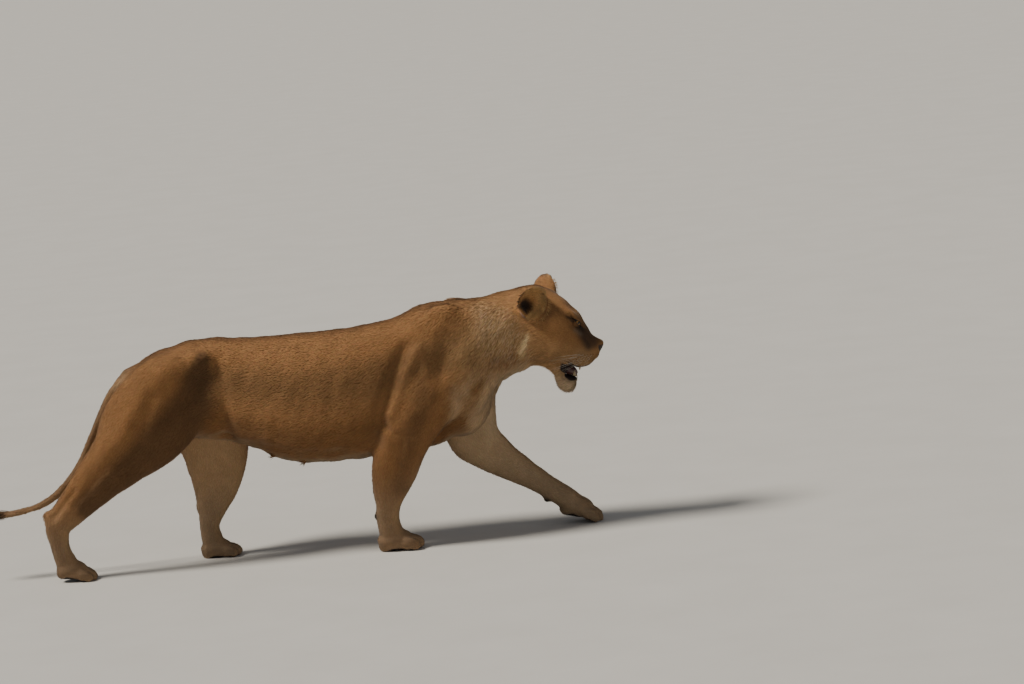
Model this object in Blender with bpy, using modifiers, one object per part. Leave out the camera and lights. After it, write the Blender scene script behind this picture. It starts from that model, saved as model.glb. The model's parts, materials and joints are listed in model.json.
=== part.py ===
"""A life-size lioness at a walk, as a still museum model parted into named pieces.

Metres, +Z up. +X is the way she walks, +Y is her left side, and the floor is z = 0.
The flesh is built whole from lofts and ellipsoids, fused by a voxel remesh, smoothed,
thinned, flattened under the paws, and then parted by thin cuts.
"""
import math

import bmesh
import bpy
import numpy as np
from mathutils import Matrix, Vector

# ---------------------------------------------------------------- driving dimensions
GAP = 0.0003               # clearance between neighbouring pieces
PAST_MIDDLE = 0.004        # the left legs' parting boxes reach this far past the mid plane
VOXEL = 0.0055             # cell of the remesh that fuses the forms
FLESH_FACES = 3800         # triangles kept for the whole flesh before it is parted
THIN_BIAS = 0.4            # how strongly the thinning favours head and feet
HEAD_DETAIL = 0.38
FOOT_DETAIL = 0.34
TAIL_SIDES = 10
TRUNK_EASE = 60            # rounds of smoothing over the trunk
WHOLE_EASE = 10            # rounds over everything, gentler on head and feet
FACE_EASE = 10             # rounds over the head alone
SHARP_ANGLE = math.radians(35.0)   # edges sharper than this aren't shaded smooth
RIGHT = -1
LEFT = 1

BACK_HEIGHT = 0.797        # the back above the floor, behind the ribs
RIB_HALF_WIDTH = 0.176     # widest half-width of the trunk
HEAD_PITCH = math.radians(22.0)
EYE_POINT = Vector((0.949, 0.0, 0.738))   # on the mid plane, between the eyes
EYE_RADIUS = 0.0185
EYE_CENTRE = (-0.008, 0.042, 0.002)       # in the head's frame, for the left eye

# Trunk and neck, tail root to nape: x, top, bottom, half-width, height of the widest point.
TRUNK = [
    (-0.680, 0.700, 0.610, 0.030, 0.655),
    (-0.655, 0.722, 0.570, 0.066, 0.650),
    (-0.600, 0.754, 0.520, 0.104, 0.645),
    (-0.520, 0.785, 0.480, 0.129, 0.640),
    (-0.430, 0.808, 0.450, 0.140, 0.630),
    (-0.330, 0.810, 0.432, 0.140, 0.615),
    (-0.230, 0.800, 0.395, 0.145, 0.590),
    (-0.130, BACK_HEIGHT, 0.343, 0.158, 0.560),
    (-0.020, BACK_HEIGHT, 0.324, 0.171, 0.550),
    (0.100, 0.798, 0.322, RIB_HALF_WIDTH, 0.550),
    (0.210, 0.806, 0.325, 0.171, 0.555),
    (0.310, 0.822, 0.332, 0.155, 0.570),
    (0.400, 0.858, 0.340, 0.139, 0.600),
    (0.480, 0.864, 0.368, 0.125, 0.630),
    (0.555, 0.860, 0.415, 0.132, 0.655),
    (0.610, 0.862, 0.486, 0.128, 0.685),
    (0.650, 0.867, 0.545, 0.121, 0.705),
    (0.710, 0.876, 0.575, 0.114, 0.725),
    (0.790, 0.872, 0.600, 0.100, 0.735),
]

# Skull and upper jaw in the head's frame: forward, top, bottom, half-width, widest height.
SKULL = [
    (-0.262, 0.040, -0.120, 0.085, -0.045),
    (-0.225, 0.070, -0.150, 0.098, -0.045),
    (-0.175, 0.086, -0.165, 0.104, -0.050),
    (-0.125, 0.085, -0.170, 0.108, -0.058),
    (-0.080, 0.072, -0.166, 0.105, -0.064),
    (-0.040, 0.054, -0.155, 0.093, -0.068),
    (-0.005, 0.038, -0.149, 0.076, -0.075),
    (0.025, 0.010, -0.152, 0.064, -0.084),
    (0.050, -0.016, -0.157, 0.058, -0.094),
    (0.076, -0.030, -0.139, 0.054, -0.094),
    (0.098, -0.036, -0.114, 0.043, -0.083),
    (0.112, -0.048, -0.092, 0.026, -0.072),
]

# Lower jaw, dropped open, in the head's frame with the same columns.
JAW = [
    (-0.150, -0.090, -0.192, 0.076, -0.140),
    (-0.100, -0.110, -0.190, 0.072, -0.148),
    (-0.060, -0.128, -0.187, 0.062, -0.158),
    (-0.028, -0.150, -0.200, 0.053, -0.176),
    (0.000, -0.182, -0.226, 0.046, -0.206),
    (0.030, -0.187, -0.247, 0.040, -0.218),
    (0.053, -0.184, -0.240, 0.031, -0.214),
    (0.064, -0.193, -0.224, 0.016, -0.208),
]

# Limb stations: x, y, z, half-depth in the leg's plane, half-width across it.
FORELEG_RIGHT = [
    (0.500, 0.090, 0.680, 0.060, 0.030),
    (0.430, 0.122, 0.560, 0.108, 0.054),
    (0.345, 0.134, 0.470, 0.108, 0.052),
    (0.290, 0.131, 0.375, 0.095, 0.049),
    (0.260, 0.122, 0.300, 0.086, 0.044),
    (0.236, 0.114, 0.225, 0.066, 0.038),
    (0.222, 0.104, 0.165, 0.046, 0.036),
    (0.216, 0.098, 0.115, 0.042, 0.038),
    (0.222, 0.095, 0.070, 0.042, 0.044),
    (0.230, 0.094, 0.040, 0.040, 0.044),
]
FORELEG_LEFT = [
    (0.540, 0.090, 0.680, 0.060, 0.030),
    (0.545, 0.122, 0.560, 0.100, 0.054),
    (0.530, 0.132, 0.440, 0.108, 0.052),
    (0.545, 0.131, 0.345, 0.098, 0.049),
    (0.612, 0.124, 0.272, 0.074, 0.044),
    (0.682, 0.118, 0.218, 0.058, 0.038),
    (0.752, 0.108, 0.168, 0.045, 0.036),
    (0.812, 0.102, 0.124, 0.041, 0.038),
    (0.860, 0.100, 0.088, 0.040, 0.044),
    (0.896, 0.100, 0.062, 0.032, 0.044),
]
HINDLEG_RIGHT = [
    (-0.470, 0.085, 0.690, 0.120, 0.050),
    (-0.510, 0.100, 0.610, 0.150, 0.062),
    (-0.590, 0.110, 0.520, 0.146, 0.066),
    (-0.690, 0.112, 0.440, 0.118, 0.058),
    (-0.770, 0.110, 0.372, 0.094, 0.048),
    (-0.840, 0.106, 0.308, 0.074, 0.040),
    (-0.900, 0.102, 0.252, 0.060, 0.034),
    (-0.948, 0.100, 0.200, 0.048, 0.032),
    (-0.950, 0.100, 0.130, 0.035, 0.031),
    (-0.936, 0.100, 0.075, 0.037, 0.037),
    (-0.924, 0.100, 0.045, 0.036, 0.038),
]
HINDLEG_LEFT = [
    (-0.450, 0.085, 0.690, 0.120, 0.050),
    (-0.425, 0.100, 0.600, 0.150, 0.062),
    (-0.395, 0.112, 0.500, 0.148, 0.066),
    (-0.385, 0.112, 0.400, 0.128, 0.058),
    (-0.388, 0.110, 0.310, 0.104, 0.048),
    (-0.400, 0.106, 0.240, 0.080, 0.040),
    (-0.418, 0.102, 0.180, 0.056, 0.034),
    (-0.434, 0.098, 0.120, 0.038, 0.031),
    (-0.430, 0.096, 0.070, 0.038, 0.037),
    (-0.424, 0.096, 0.040, 0.036, 0.038),
]

# Tail, root to tip: x, y, z, half-thickness.
TAIL = [
    (-0.600, 0.000, 0.720, 0.030),
    (-0.656, 0.000, 0.700, 0.030),
    (-0.706, 0.000, 0.648, 0.025),
    (-0.757, 0.000, 0.572, 0.020),
    (-0.804, 0.000, 0.490, 0.017),
    (-0.854, 0.000, 0.406, 0.016),
    (-0.917, 0.000, 0.328, 0.015),
    (-1.000, 0.000, 0.272, 0.014),
    (-1.090, 0.000, 0.248, 0.014),
    (-1.180, 0.000, 0.243, 0.018),
    (-1.255, 0.000, 0.244, 0.029),
    (-1.315, 0.000, 0.248, 0.020),
    (-1.345, 0.000, 0.252, 0.006),
]

# Paws: ball of the foot, size, pitch.
PAWS = [
    ((0.238, -0.094, 0.030), 1.14, 0.0),
    ((0.892, 0.100, 0.050), 1.14, 0.34),
    ((-0.914, -0.100, 0.035), 1.02, 0.20),
    ((-0.414, 0.096, 0.026), 1.02, 0.0),
]
TOE_PITCH = 0.0245         # from one toe to the next

# Masses of the trunk in pairs: centre (y for the left side), radii, pitch.
# The left shoulder reaches ahead with its leg.
LEFT_REACH = 0.035
SHOULDER_MASSES = [
    ((0.455, 0.076, 0.690), (0.125, 0.054, 0.185), 0.36),    # shoulder blade
    ((0.405, 0.038, 0.793), (0.080, 0.030, 0.056), 0.20),    # its upper edge, at the withers
    ((0.520, 0.090, 0.585), (0.125, 0.056, 0.145), 0.30),    # point of the shoulder
    ((0.350, 0.106, 0.580), (0.090, 0.054, 0.180), 0.50),    # muscle behind the upper arm
]
HIP_MASSES = [
    ((-0.510, 0.084, 0.670), (0.160, 0.076, 0.112), -0.20),  # haunch
    ((-0.385, 0.074, 0.730), (0.085, 0.055, 0.052), 0.0),    # point of the hip
]
SINGLE_MASSES = [
    ((0.520, 0.0, 0.490), (0.105, 0.110, 0.130), 0.50),      # breast
    ((-0.690, -0.085, 0.560), (0.070, 0.060, 0.160), 0.42),  # back of the right thigh
    ((-0.560, 0.085, 0.600), (0.075, 0.060, 0.115), -0.16),  # back of the left thigh
    ((-0.972, -0.100, 0.226), (0.024, 0.021, 0.042), -0.35),  # right heel
    ((-0.454, 0.100, 0.186), (0.022, 0.021, 0.042), -0.05),  # left heel
    ((0.178, -0.098, 0.128), (0.015, 0.014, 0.018), 0.0),    # right wrist pad
    ((0.786, 0.102, 0.092), (0.018, 0.014, 0.014), 0.0),     # left wrist pad
]

# Masses of the head in its frame: centre, radii, pitch, yaw; pairs are given for the left.
FACE_PAIRS = [
    ((-0.092, 0.057, -0.078), (0.096, 0.045, 0.082), 0.25, 0.0),     # cheek
    ((-0.030, 0.052, -0.040), (0.056, 0.026, 0.020), 0.45, -0.30),   # cheekbone
    ((-0.030, 0.040, 0.023), (0.044, 0.026, 0.016), 0.42, -0.30),    # brow
    ((0.050, 0.034, -0.114), (0.050, 0.031, 0.037), -0.30, -0.12),   # whisker pad
    ((-0.012, 0.037, -0.166), (0.036, 0.010, 0.030), 0.45, 0.0),     # corner of the mouth
]
FACE_SINGLES = [
    ((0.031, 0.0, -0.217), (0.034, 0.038, 0.029), 0.10, 0.0),        # chin
    ((0.100, 0.0, -0.054), (0.018, 0.026, 0.020), 0.50, 0.0),        # nose
    ((-0.138, 0.0, 0.045), (0.078, 0.074, 0.041), 0.05, 0.0),        # crown
    ((0.034, 0.0, -0.018), (0.062, 0.027, 0.016), 0.70, 0.0),        # bridge of the nose
]

# The hollow that each eye sits in, for the left side: centre, radii, and the way it is pressed.
EYE_HOLLOW = (0.017, 0.074, -0.001)
EYE_HOLLOW_RADII = (0.044, 0.026, 0.021)
EYE_HOLLOW_PUSH = (-0.5, -1.0, 0.0)

# Ears in the head's frame: name, centre, way the bowl opens, way its tip points.
EARS = [
    ("ear_right", (-0.172, -0.120, 0.030), (0.40, -0.88, 0.08), (0.30, 0.10, 0.90)),
    ("ear_left", (-0.128, 0.090, 0.061), (0.76, 0.60, 0.10), (-0.12, 0.28, 0.95)),
]
EAR_WIDTH = 0.063          # half the bowl's width
EAR_LENGTH = 0.068         # from its middle to its tip
EAR_ROOT = 0.058           # from its middle to its root
EAR_DEPTH = 0.040
EAR_HOLLOW = 0.80          # the inside, as a share of the outside
EAR_FLOOR = 0.84           # its depth, as a share of the outside's
EAR_FULLNESS = 0.75        # below 1 the bowl bulges
EAR_STEPS = 5
EAR_SIDES = 15

# Where the head is parted, and the canines: root in the head's frame, for the left side.
NAPE = (0.757, 0.0, 0.740)
NAPE_LEAN = math.radians(-4.8)
JAW_HINGE = (-0.070, 0.0, -0.190)
JAW_CUT_LEAN = math.radians(-10.2)
UPPER_CANINE = (0.054, 0.027, -0.142)
LOWER_CANINE = (0.043, 0.020, -0.186)
TOOTH_LENGTH = 0.036       # half of it stands out of the gum
TOOTH_RADIUS = 0.0055
TOOTH_TIP_RADIUS = 0.0012
TOOTH_LEAN = 0.12
TONGUE_CENTRE = (0.012, 0.0, -0.168)
TONGUE_SIZE = (0.044, 0.030, 0.019)
TONGUE_LEAN = 0.18

# Parting boxes, in the order of the cuts: name, frame (x, z, lean), low and high corner.
LIMB_CUTS = [
    ("forepaw_right", (0.220, 0.135, 0.0), (-0.10, -0.30, -0.30), (0.20, 0.0, 0.0)),
    ("forearm_right", (0.220, 0.312, 0.0), (-0.06, -0.30, -0.30), (0.30, 0.0, 0.0)),
    ("shoulder_right", (0.400, 0.660, 0.0), (-0.228, -0.30, -0.40), (0.215, -0.082, 0.0)),
    ("forepaw_left", (0.795, 0.135, -1.0), (-0.25, -PAST_MIDDLE, -0.50), (0.25, 0.30, 0.0)),
    ("forearm_left", (0.530, 0.365, -0.263), (-0.13, -PAST_MIDDLE, -0.60), (0.70, 0.30, 0.0)),
    ("shoulder_left", (0.460, 0.660, 0.0), (-0.20, 0.080, -0.40), (0.22, 0.30, 0.0)),
    ("hindpaw_right", (-0.950, 0.165, 0.0), (-0.15, -0.30, -0.30), (0.20, 0.0, 0.0)),
    ("shank_right", (-0.715, 0.418, 0.93), (-0.50, -0.30, -0.60), (0.50, 0.0, 0.0)),
    ("thigh_right", (-0.520, 0.560, 0.34), (-0.50, -0.30, -0.50), (0.215, 0.0, 0.0)),
    ("hindpaw_left", (-0.440, 0.135, 0.0), (-0.12, -PAST_MIDDLE, -0.30), (0.20, 0.30, 0.0)),
    ("shank_left", (-0.400, 0.345, 0.0), (-0.25, -PAST_MIDDLE, -0.40), (0.18, 0.30, 0.0)),
    ("thigh_left", (-0.440, 0.530, 0.26), (-0.50, -PAST_MIDDLE, -0.30), (0.215, 0.30, 0.0)),
]
TRUNK_CUTS = [
    ("neck", 0.585, 0.700, -0.35),
    ("chest", 0.130, 0.560, 0.0),
    ("belly", -0.270, 0.600, 0.0),
]
TAIL_CUTS = [
    ("tail_base", -0.757, 0.572, -0.985),
    ("tail_middle", -0.917, 0.332, -0.65),
    ("tail_end", -1.180, 0.244, 0.0),
]

# Materials: name, linear colour, roughness; and the pieces that don't wear the coat.
LOOKS = [
    ("coat", (0.36, 0.19, 0.075), 0.85),
    ("eye", (0.30, 0.13, 0.02), 0.15),
    ("mouth", (0.35, 0.10, 0.09), 0.45),
    ("dark_hair", (0.035, 0.022, 0.015), 0.90),
]
LOOK_OF = {"eye_left": "eye", "eye_right": "eye", "tongue": "mouth", "tail_tuft": "dark_hair"}


# ---------------------------------------------------------------- small tools
def clear_scene():
    """Remove every object of the open file."""
    for item in list(bpy.data.objects):
        bpy.data.objects.remove(item, do_unlink=True)


def collection(name):
    """A new collection, linked to the scene."""
    group = bpy.data.collections.new(name)
    bpy.context.scene.collection.children.link(group)
    return group


def material(name, colour, roughness):
    """A plain Principled material; colour is linear RGB."""
    mat = bpy.data.materials.new(name)
    mat.use_nodes = True
    shader = mat.node_tree.nodes["Principled BSDF"]
    shader.inputs["Base Color"].default_value = (*colour, 1.0)
    shader.inputs["Roughness"].default_value = roughness
    shader.inputs["Metallic"].default_value = 0.0
    mat.diffuse_color = (*colour, 1.0)
    return mat


def resample(rows, steps):
    """Rows read from the Catmull-Rom curve through the given rows."""
    rows = np.array(rows, dtype=float)
    ends = np.vstack([2 * rows[0] - rows[1], rows, 2 * rows[-1] - rows[-2]])
    found = []
    for start in range(1, len(ends) - 2):
        before, here, after, beyond = ends[start - 1:start + 3]
        for step in range(steps):
            t = step / steps
            found.append(0.5 * (2 * here + (after - before) * t
                                + (2 * before - 5 * here + 4 * after - beyond) * t * t
                                + (3 * here - before - 3 * after + beyond) * t ** 3))
    found.append(rows[-1])
    return found


def round_point(angle, power):
    """A point of the unit superellipse."""
    across = math.cos(angle)
    along = math.sin(angle)
    return (math.copysign(abs(across) ** (2 / power), across),
            math.copysign(abs(along) ** (2 / power), along))


def loft(bm, rings):
    """A closed body through rings of equal length, capped at both ends."""
    loops = [[bm.verts.new(point) for point in ring] for ring in rings]
    count = len(loops[0])
    for lower, upper in zip(loops, loops[1:]):
        for index in range(count):
            after = (index + 1) % count
            bm.faces.new((lower[index], lower[after], upper[after], upper[index]))
    bm.faces.new(list(reversed(loops[0])))
    bm.faces.new(loops[-1])


def upright_rings(rows, power, frame=Matrix.Identity(4), sides=28, steps=4):
    """Rings of a form described by forward, top, bottom, half-width and widest height."""
    rings = []
    for forward, top, bottom, half, widest in resample(rows, steps):
        ring = []
        for index in range(sides):
            across, along = round_point(2 * math.pi * index / sides, power)
            reach = (top - widest) if along > 0 else (widest - bottom)
            ring.append(frame @ Vector((forward, half * across, widest + reach * along)))
        rings.append(ring)
    return rings


def limb_rings(rows, side, power=2.3, sides=20, steps=4):
    """Rings square to a limb whose path lies close to an upright plane."""
    found = resample(rows, steps)
    rings = []
    for index, (x, y, z, depth, width) in enumerate(found):
        behind = found[max(index - 1, 0)]
        ahead = found[min(index + 1, len(found) - 1)]
        run = Vector((ahead[0] - behind[0], 0.0, ahead[2] - behind[2])).normalized()
        fore = Vector((-run.z, 0.0, run.x))
        ring = []
        for corner in range(sides):
            across, along = round_point(2 * math.pi * corner / sides, power)
            ring.append(Vector((x, side * y, z)) + fore * (depth * across)
                        + Vector((0.0, width * along, 0.0)))
        rings.append(ring)
    return rings


def ellipsoid(bm, centre, radii, pitch=0.0, yaw=0.0, frame=Matrix.Identity(4)):
    """A ball with three radii; pitch turns +X down, yaw turns it to the left."""
    turn = Matrix.Rotation(yaw, 4, "Z") @ Matrix.Rotation(pitch, 4, "Y")
    size = Matrix.Diagonal((*radii, 1.0))
    bmesh.ops.create_icosphere(bm, subdivisions=3, radius=1.0,
                               matrix=frame @ Matrix.Translation(centre) @ turn @ size)


def object_from(bm, name, group):
    """A linked object holding the bmesh, with its normals pointing out."""
    bmesh.ops.recalc_face_normals(bm, faces=bm.faces)
    mesh = bpy.data.meshes.new(name)
    bm.to_mesh(mesh)
    bm.free()
    item = bpy.data.objects.new(name, mesh)
    group.objects.link(item)
    return item


def applied(item):
    """Apply the modifiers of an object to its mesh."""
    bpy.context.view_layer.update()
    shape = item.evaluated_get(bpy.context.evaluated_depsgraph_get())
    mesh = bpy.data.meshes.new_from_object(shape)
    item.modifiers.clear()
    item.data = mesh
    return item


def copy_of(item, name, group):
    """A copy of an object and its mesh."""
    twin = item.copy()
    twin.data = item.data.copy()
    twin.name = name
    group.objects.link(twin)
    return twin


def cut(item, cutter, operation="DIFFERENCE"):
    """Apply one exact Boolean to the triangulated piece."""
    item.modifiers.new("split", "TRIANGULATE")
    step = item.modifiers.new("cut", "BOOLEAN")
    step.operation = operation
    step.solver = "EXACT"
    step.object = cutter
    return applied(item)


def mirrored(point, side):
    """A point given for the left side, on either side."""
    return (point[0], side * point[1], point[2])


def head_frame():
    """From the head's frame (forward, left, up) to the world."""
    return Matrix.Translation(EYE_POINT) @ Matrix.Rotation(HEAD_PITCH, 4, "Y")


# ---------------------------------------------------------------- flesh
def add_head(bm):
    """Skull, cheeks, brows, muzzle and the open lower jaw."""
    frame = head_frame()
    loft(bm, upright_rings(SKULL, 2.35, frame))
    loft(bm, upright_rings(JAW, 2.3, frame, sides=20))
    for centre, radii, pitch, yaw in FACE_PAIRS:
        for side in (RIGHT, LEFT):
            ellipsoid(bm, mirrored(centre, side), radii, pitch, side * yaw, frame)
    for centre, radii, pitch, yaw in FACE_SINGLES:
        ellipsoid(bm, centre, radii, pitch, yaw, frame)


def ear_form(bm, centre, outward, tip):
    """A cupped ear: a thick bowl that opens outward, longer toward its tip."""
    outward = Vector(outward).normalized()
    tip = (Vector(tip) - outward * outward.dot(Vector(tip))).normalized()
    turn = Matrix((tip.cross(outward), tip, outward)).transposed().to_4x4()
    place = head_frame() @ Matrix.Translation(centre) @ turn
    shells = []
    for radius, depth in ((1.0, EAR_DEPTH), (EAR_HOLLOW, EAR_DEPTH * EAR_FLOOR)):
        rings = []
        for step in range(1, EAR_STEPS + 1):
            swing = 0.5 * math.pi * step / EAR_STEPS
            reach = radius * math.sin(swing) ** EAR_FULLNESS
            ring = []
            for index in range(EAR_SIDES):
                angle = 2 * math.pi * index / EAR_SIDES
                length = EAR_LENGTH if math.sin(angle) > 0 else EAR_ROOT
                ring.append(place @ Vector((EAR_WIDTH * reach * math.cos(angle),
                                            length * reach * math.sin(angle),
                                            -depth * math.cos(swing))))
            rings.append(ring)
        shells.append(rings)
    outer, inner = shells
    loft(bm, outer + inner[::-1])


def add_paw(bm, ball, size, pitch):
    """A paw: its pad and back, and four toes spread ahead of them."""
    place = Matrix.Translation(ball) @ Matrix.Rotation(pitch, 4, "Y") @ Matrix.Scale(size, 4)
    ellipsoid(bm, (-0.004, 0.0, 0.006), (0.056, 0.046, 0.036), 0.0, 0.0, place)
    ellipsoid(bm, (-0.028, 0.0, -0.012), (0.030, 0.034, 0.020), 0.0, 0.0, place)
    for index in range(4):
        across = (index - 1.5) * TOE_PITCH
        ahead = 0.052 - 0.006 * (abs(index - 1.5) - 0.5) * 2.2
        ellipsoid(bm, (ahead, across, -0.004), (0.035, 0.0145, 0.021), 0.20, across * 3.0, place)
        ellipsoid(bm, (ahead + 0.017, across * 1.07, -0.012), (0.019, 0.0130, 0.015), 0.0, 0.0, place)


def add_body(bm):
    """Trunk and neck, with the masses of shoulder, chest, hip and thigh."""
    loft(bm, upright_rings(TRUNK, 2.15))
    for centre, radii, pitch in SHOULDER_MASSES:
        for side, ahead in ((RIGHT, 0.0), (LEFT, LEFT_REACH)):
            x, y, z = mirrored(centre, side)
            ellipsoid(bm, (x + ahead, y, z), radii, pitch)
    for centre, radii, pitch in HIP_MASSES:
        for side in (RIGHT, LEFT):
            ellipsoid(bm, mirrored(centre, side), radii, pitch)
    for centre, radii, pitch in SINGLE_MASSES:
        ellipsoid(bm, centre, radii, pitch)


def ramp(value, start, end):
    """0 at start, 1 at end, straight between."""
    return min(1.0, max(0.0, (value - start) / (end - start)))


def region_weights(item):
    """Vertex groups: how much each part of the flesh is eased and thinned."""
    frame = head_frame().inverted()
    trunk = item.vertex_groups.new(name="trunk")
    whole = item.vertex_groups.new(name="whole")
    face = item.vertex_groups.new(name="face")
    coarse = item.vertex_groups.new(name="coarse")
    for vertex in item.data.vertices:
        local = frame @ vertex.co
        head = ramp(local.x, -0.25, -0.17) * ramp(local.z, -0.34, -0.28)
        foot = ramp(vertex.co.z, 0.13, 0.08)
        trunk.add([vertex.index], (1.0 - head) * ramp(vertex.co.z, 0.22, 0.50), "REPLACE")
        whole.add([vertex.index], 1.0 - 0.72 * max(head, foot), "REPLACE")
        face.add([vertex.index], head, "REPLACE")
        coarse.add([vertex.index], 1.0 - max(HEAD_DETAIL * head, FOOT_DETAIL * foot), "REPLACE")


def ease(item, group, rounds):
    """Smooth the part of the surface that the vertex group names."""
    step = item.modifiers.new("ease", "SMOOTH")
    step.factor = 0.5
    step.iterations = rounds
    step.vertex_group = group
    applied(item)


def press(item, centre, radii, push, frame):
    """Sink the surface inside an ellipsoid to its far side, along push."""
    back = frame.inverted()
    push = Vector(push).normalized()
    reach = Vector([push[axis] / radii[axis] for axis in range(3)])
    for vertex in item.data.vertices:
        local = back @ vertex.co - Vector(centre)
        unit = Vector([local[axis] / radii[axis] for axis in range(3)])
        inside = 1.0 - unit.length_squared
        if inside > 0.0:
            lean = unit.dot(reach)
            travel = (-lean + math.sqrt(lean * lean + reach.length_squared * inside))
            local += push * (travel / reach.length_squared)
            vertex.co = frame @ (local + Vector(centre))


def thin(item, faces):
    """Thin the surface to a number of triangles, more on the body than on the head."""
    step = item.modifiers.new("thin", "DECIMATE")
    step.ratio = faces / (2 * len(item.data.polygons))
    step.vertex_group = "coarse"
    step.vertex_group_factor = THIN_BIAS
    applied(item)


def make_flesh(group):
    """The whole body without its tail: fused, pressed at the eyes and smoothed."""
    bm = bmesh.new()
    add_body(bm)
    add_head(bm)
    for rows, side in ((FORELEG_RIGHT, RIGHT), (FORELEG_LEFT, LEFT),
                       (HINDLEG_RIGHT, RIGHT), (HINDLEG_LEFT, LEFT)):
        loft(bm, limb_rings(rows, side))
    for ball, size, pitch in PAWS:
        add_paw(bm, ball, size, pitch)
    flesh = object_from(bm, "flesh", group)
    fuse = flesh.modifiers.new("fuse", "REMESH")
    fuse.mode = "VOXEL"
    fuse.voxel_size = VOXEL
    applied(flesh)
    region_weights(flesh)
    for side in (RIGHT, LEFT):
        press(flesh, mirrored(EYE_HOLLOW, side), EYE_HOLLOW_RADII,
              mirrored(EYE_HOLLOW_PUSH, side), head_frame())
    ease(flesh, "trunk", TRUNK_EASE)
    ease(flesh, "whole", WHOLE_EASE)
    ease(flesh, "face", FACE_EASE)
    return flesh


def make_tail(group, grow):
    """The tail as one tube with its tuft, its root inside the rump; grow widens and deepens it."""
    bm = bmesh.new()
    rows = [(x, y, z, half + grow, half + grow) for x, y, z, half in TAIL]
    x, y, z, depth, width = rows[0]
    rows[0] = (x + 2 * grow, y, z + grow, depth, width)
    loft(bm, limb_rings(rows, LEFT, power=2.0, sides=TAIL_SIDES, steps=2))
    return object_from(bm, "tail", group)


def make_eye(name, side, group, radius):
    """An eyeball in its place in the head."""
    bm = bmesh.new()
    place = head_frame() @ Matrix.Translation(mirrored(EYE_CENTRE, side))
    bmesh.ops.create_uvsphere(bm, u_segments=12, v_segments=8, radius=radius, matrix=place)
    return object_from(bm, name, group)


def canine(bm, root, length, side):
    """A tooth: a cone about its root in the gum, leaning outward; it points down if length is below 0."""
    place = (head_frame() @ Matrix.Translation(root)
             @ Matrix.Rotation(side * TOOTH_LEAN, 4, "X"))
    turn = Matrix.Rotation(math.pi, 4, "X") if length < 0 else Matrix.Identity(4)
    bmesh.ops.create_cone(bm, cap_ends=True, segments=8, radius1=TOOTH_RADIUS,
                          radius2=TOOTH_TIP_RADIUS, depth=abs(length), matrix=place @ turn)


# ---------------------------------------------------------------- parting
def region_box(name, place, low, high, group):
    """A box cutter that spans low to high in the frame of place."""
    bm = bmesh.new()
    centre = [(a + b) / 2 for a, b in zip(low, high)]
    size = [b - a for a, b in zip(low, high)]
    bmesh.ops.create_cube(bm, size=1.0, matrix=place @ Matrix.Translation(centre)
                          @ Matrix.Diagonal((*size, 1.0)))
    box = object_from(bm, name, group)
    box.hide_render = True
    box.display_type = "WIRE"
    return box


def part_off(rest, name, place, low, high, group, cutters):
    """Split off what lies in a box; the rest keeps a gap to it."""
    box = region_box(name + "_box", place, low, high, cutters)
    wide = region_box(name + "_gap", place, [a - GAP for a in low], [b + GAP for b in high], cutters)
    piece = cut(copy_of(rest, name, group), box, "INTERSECT")
    cut(rest, wide)
    return piece


def at(x, y, z, pitch=0.0, roll=0.0):
    """A frame at a point; pitch turns its +X down, roll turns its +Y up."""
    return (Matrix.Translation((x, y, z)) @ Matrix.Rotation(pitch, 4, "Y")
            @ Matrix.Rotation(roll, 4, "X"))


def grown(item, cutters):
    """A copy of a piece, grown by the gap, to trim its neighbours with."""
    wide = copy_of(item, item.name + "_grown", cutters)
    wide.hide_render = True
    wide.display_type = "WIRE"
    grow = wide.modifiers.new("grow", "DISPLACE")
    grow.mid_level = 0.0
    grow.strength = 2 * GAP
    return applied(wide)


def part_head(rest, group, cutters):
    """Ears, eyes, jaw, tongue and head; the neck and body stay in the rest."""
    pieces = []
    skull = grown(rest, cutters)
    for name, centre, outward, tip in EARS:
        bm = bmesh.new()
        ear_form(bm, centre, outward, tip)
        ear = object_from(bm, name, group)
        pieces.append(cut(ear, skull))
    for name, side in (("eye_right", RIGHT), ("eye_left", LEFT)):
        pieces.append(make_eye(name, side, group, EYE_RADIUS))
        socket = make_eye(name + "_socket", side, cutters, EYE_RADIUS + GAP)
        socket.hide_render = True
        socket.display_type = "WIRE"
        cut(rest, socket)
    nape = at(*NAPE, pitch=NAPE_LEAN)
    head = part_off(rest, "head", nape, (0.0, -0.4, -0.4), (0.6, 0.4, 0.4), group, cutters)
    hinge = head_frame() @ at(*JAW_HINGE, pitch=JAW_CUT_LEAN)
    jaw = part_off(head, "lower_jaw", hinge, (0.0, -0.2, -0.2), (0.3, 0.2, 0.0), group, cutters)
    add_teeth(head, UPPER_CANINE, -TOOTH_LENGTH, cutters)
    add_teeth(jaw, LOWER_CANINE, TOOTH_LENGTH, cutters)
    tongue = make_tongue(head, jaw, group, cutters)
    return pieces + [head, jaw, tongue]


def add_teeth(item, root, length, cutters):
    """Join a pair of canines to the jaw that they grow from."""
    for side in (RIGHT, LEFT):
        bm = bmesh.new()
        canine(bm, mirrored(root, side), length, side)
        tooth = object_from(bm, "canine", cutters)
        tooth.hide_render = True
        tooth.display_type = "WIRE"
        cut(item, tooth, "UNION")


def part_limbs(rest, group, cutters):
    """The legs in their lengths, from the paws up."""
    return [part_off(rest, name, at(x, 0.0, z, pitch=lean), low, high, group, cutters)
            for name, (x, z, lean), low, high in LIMB_CUTS]


def part_trunk(rest, group, cutters):
    """Neck, chest and belly; what is left is the rump."""
    pieces = []
    for name, x, z, lean in TRUNK_CUTS:
        pieces.append(part_off(rest, name, at(x, 0.0, z, pitch=lean), (0.0, -0.4, -1.0),
                               (1.2, 0.4, 1.0), group, cutters))
    rest.name = "rump"
    return pieces + [rest]


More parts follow.
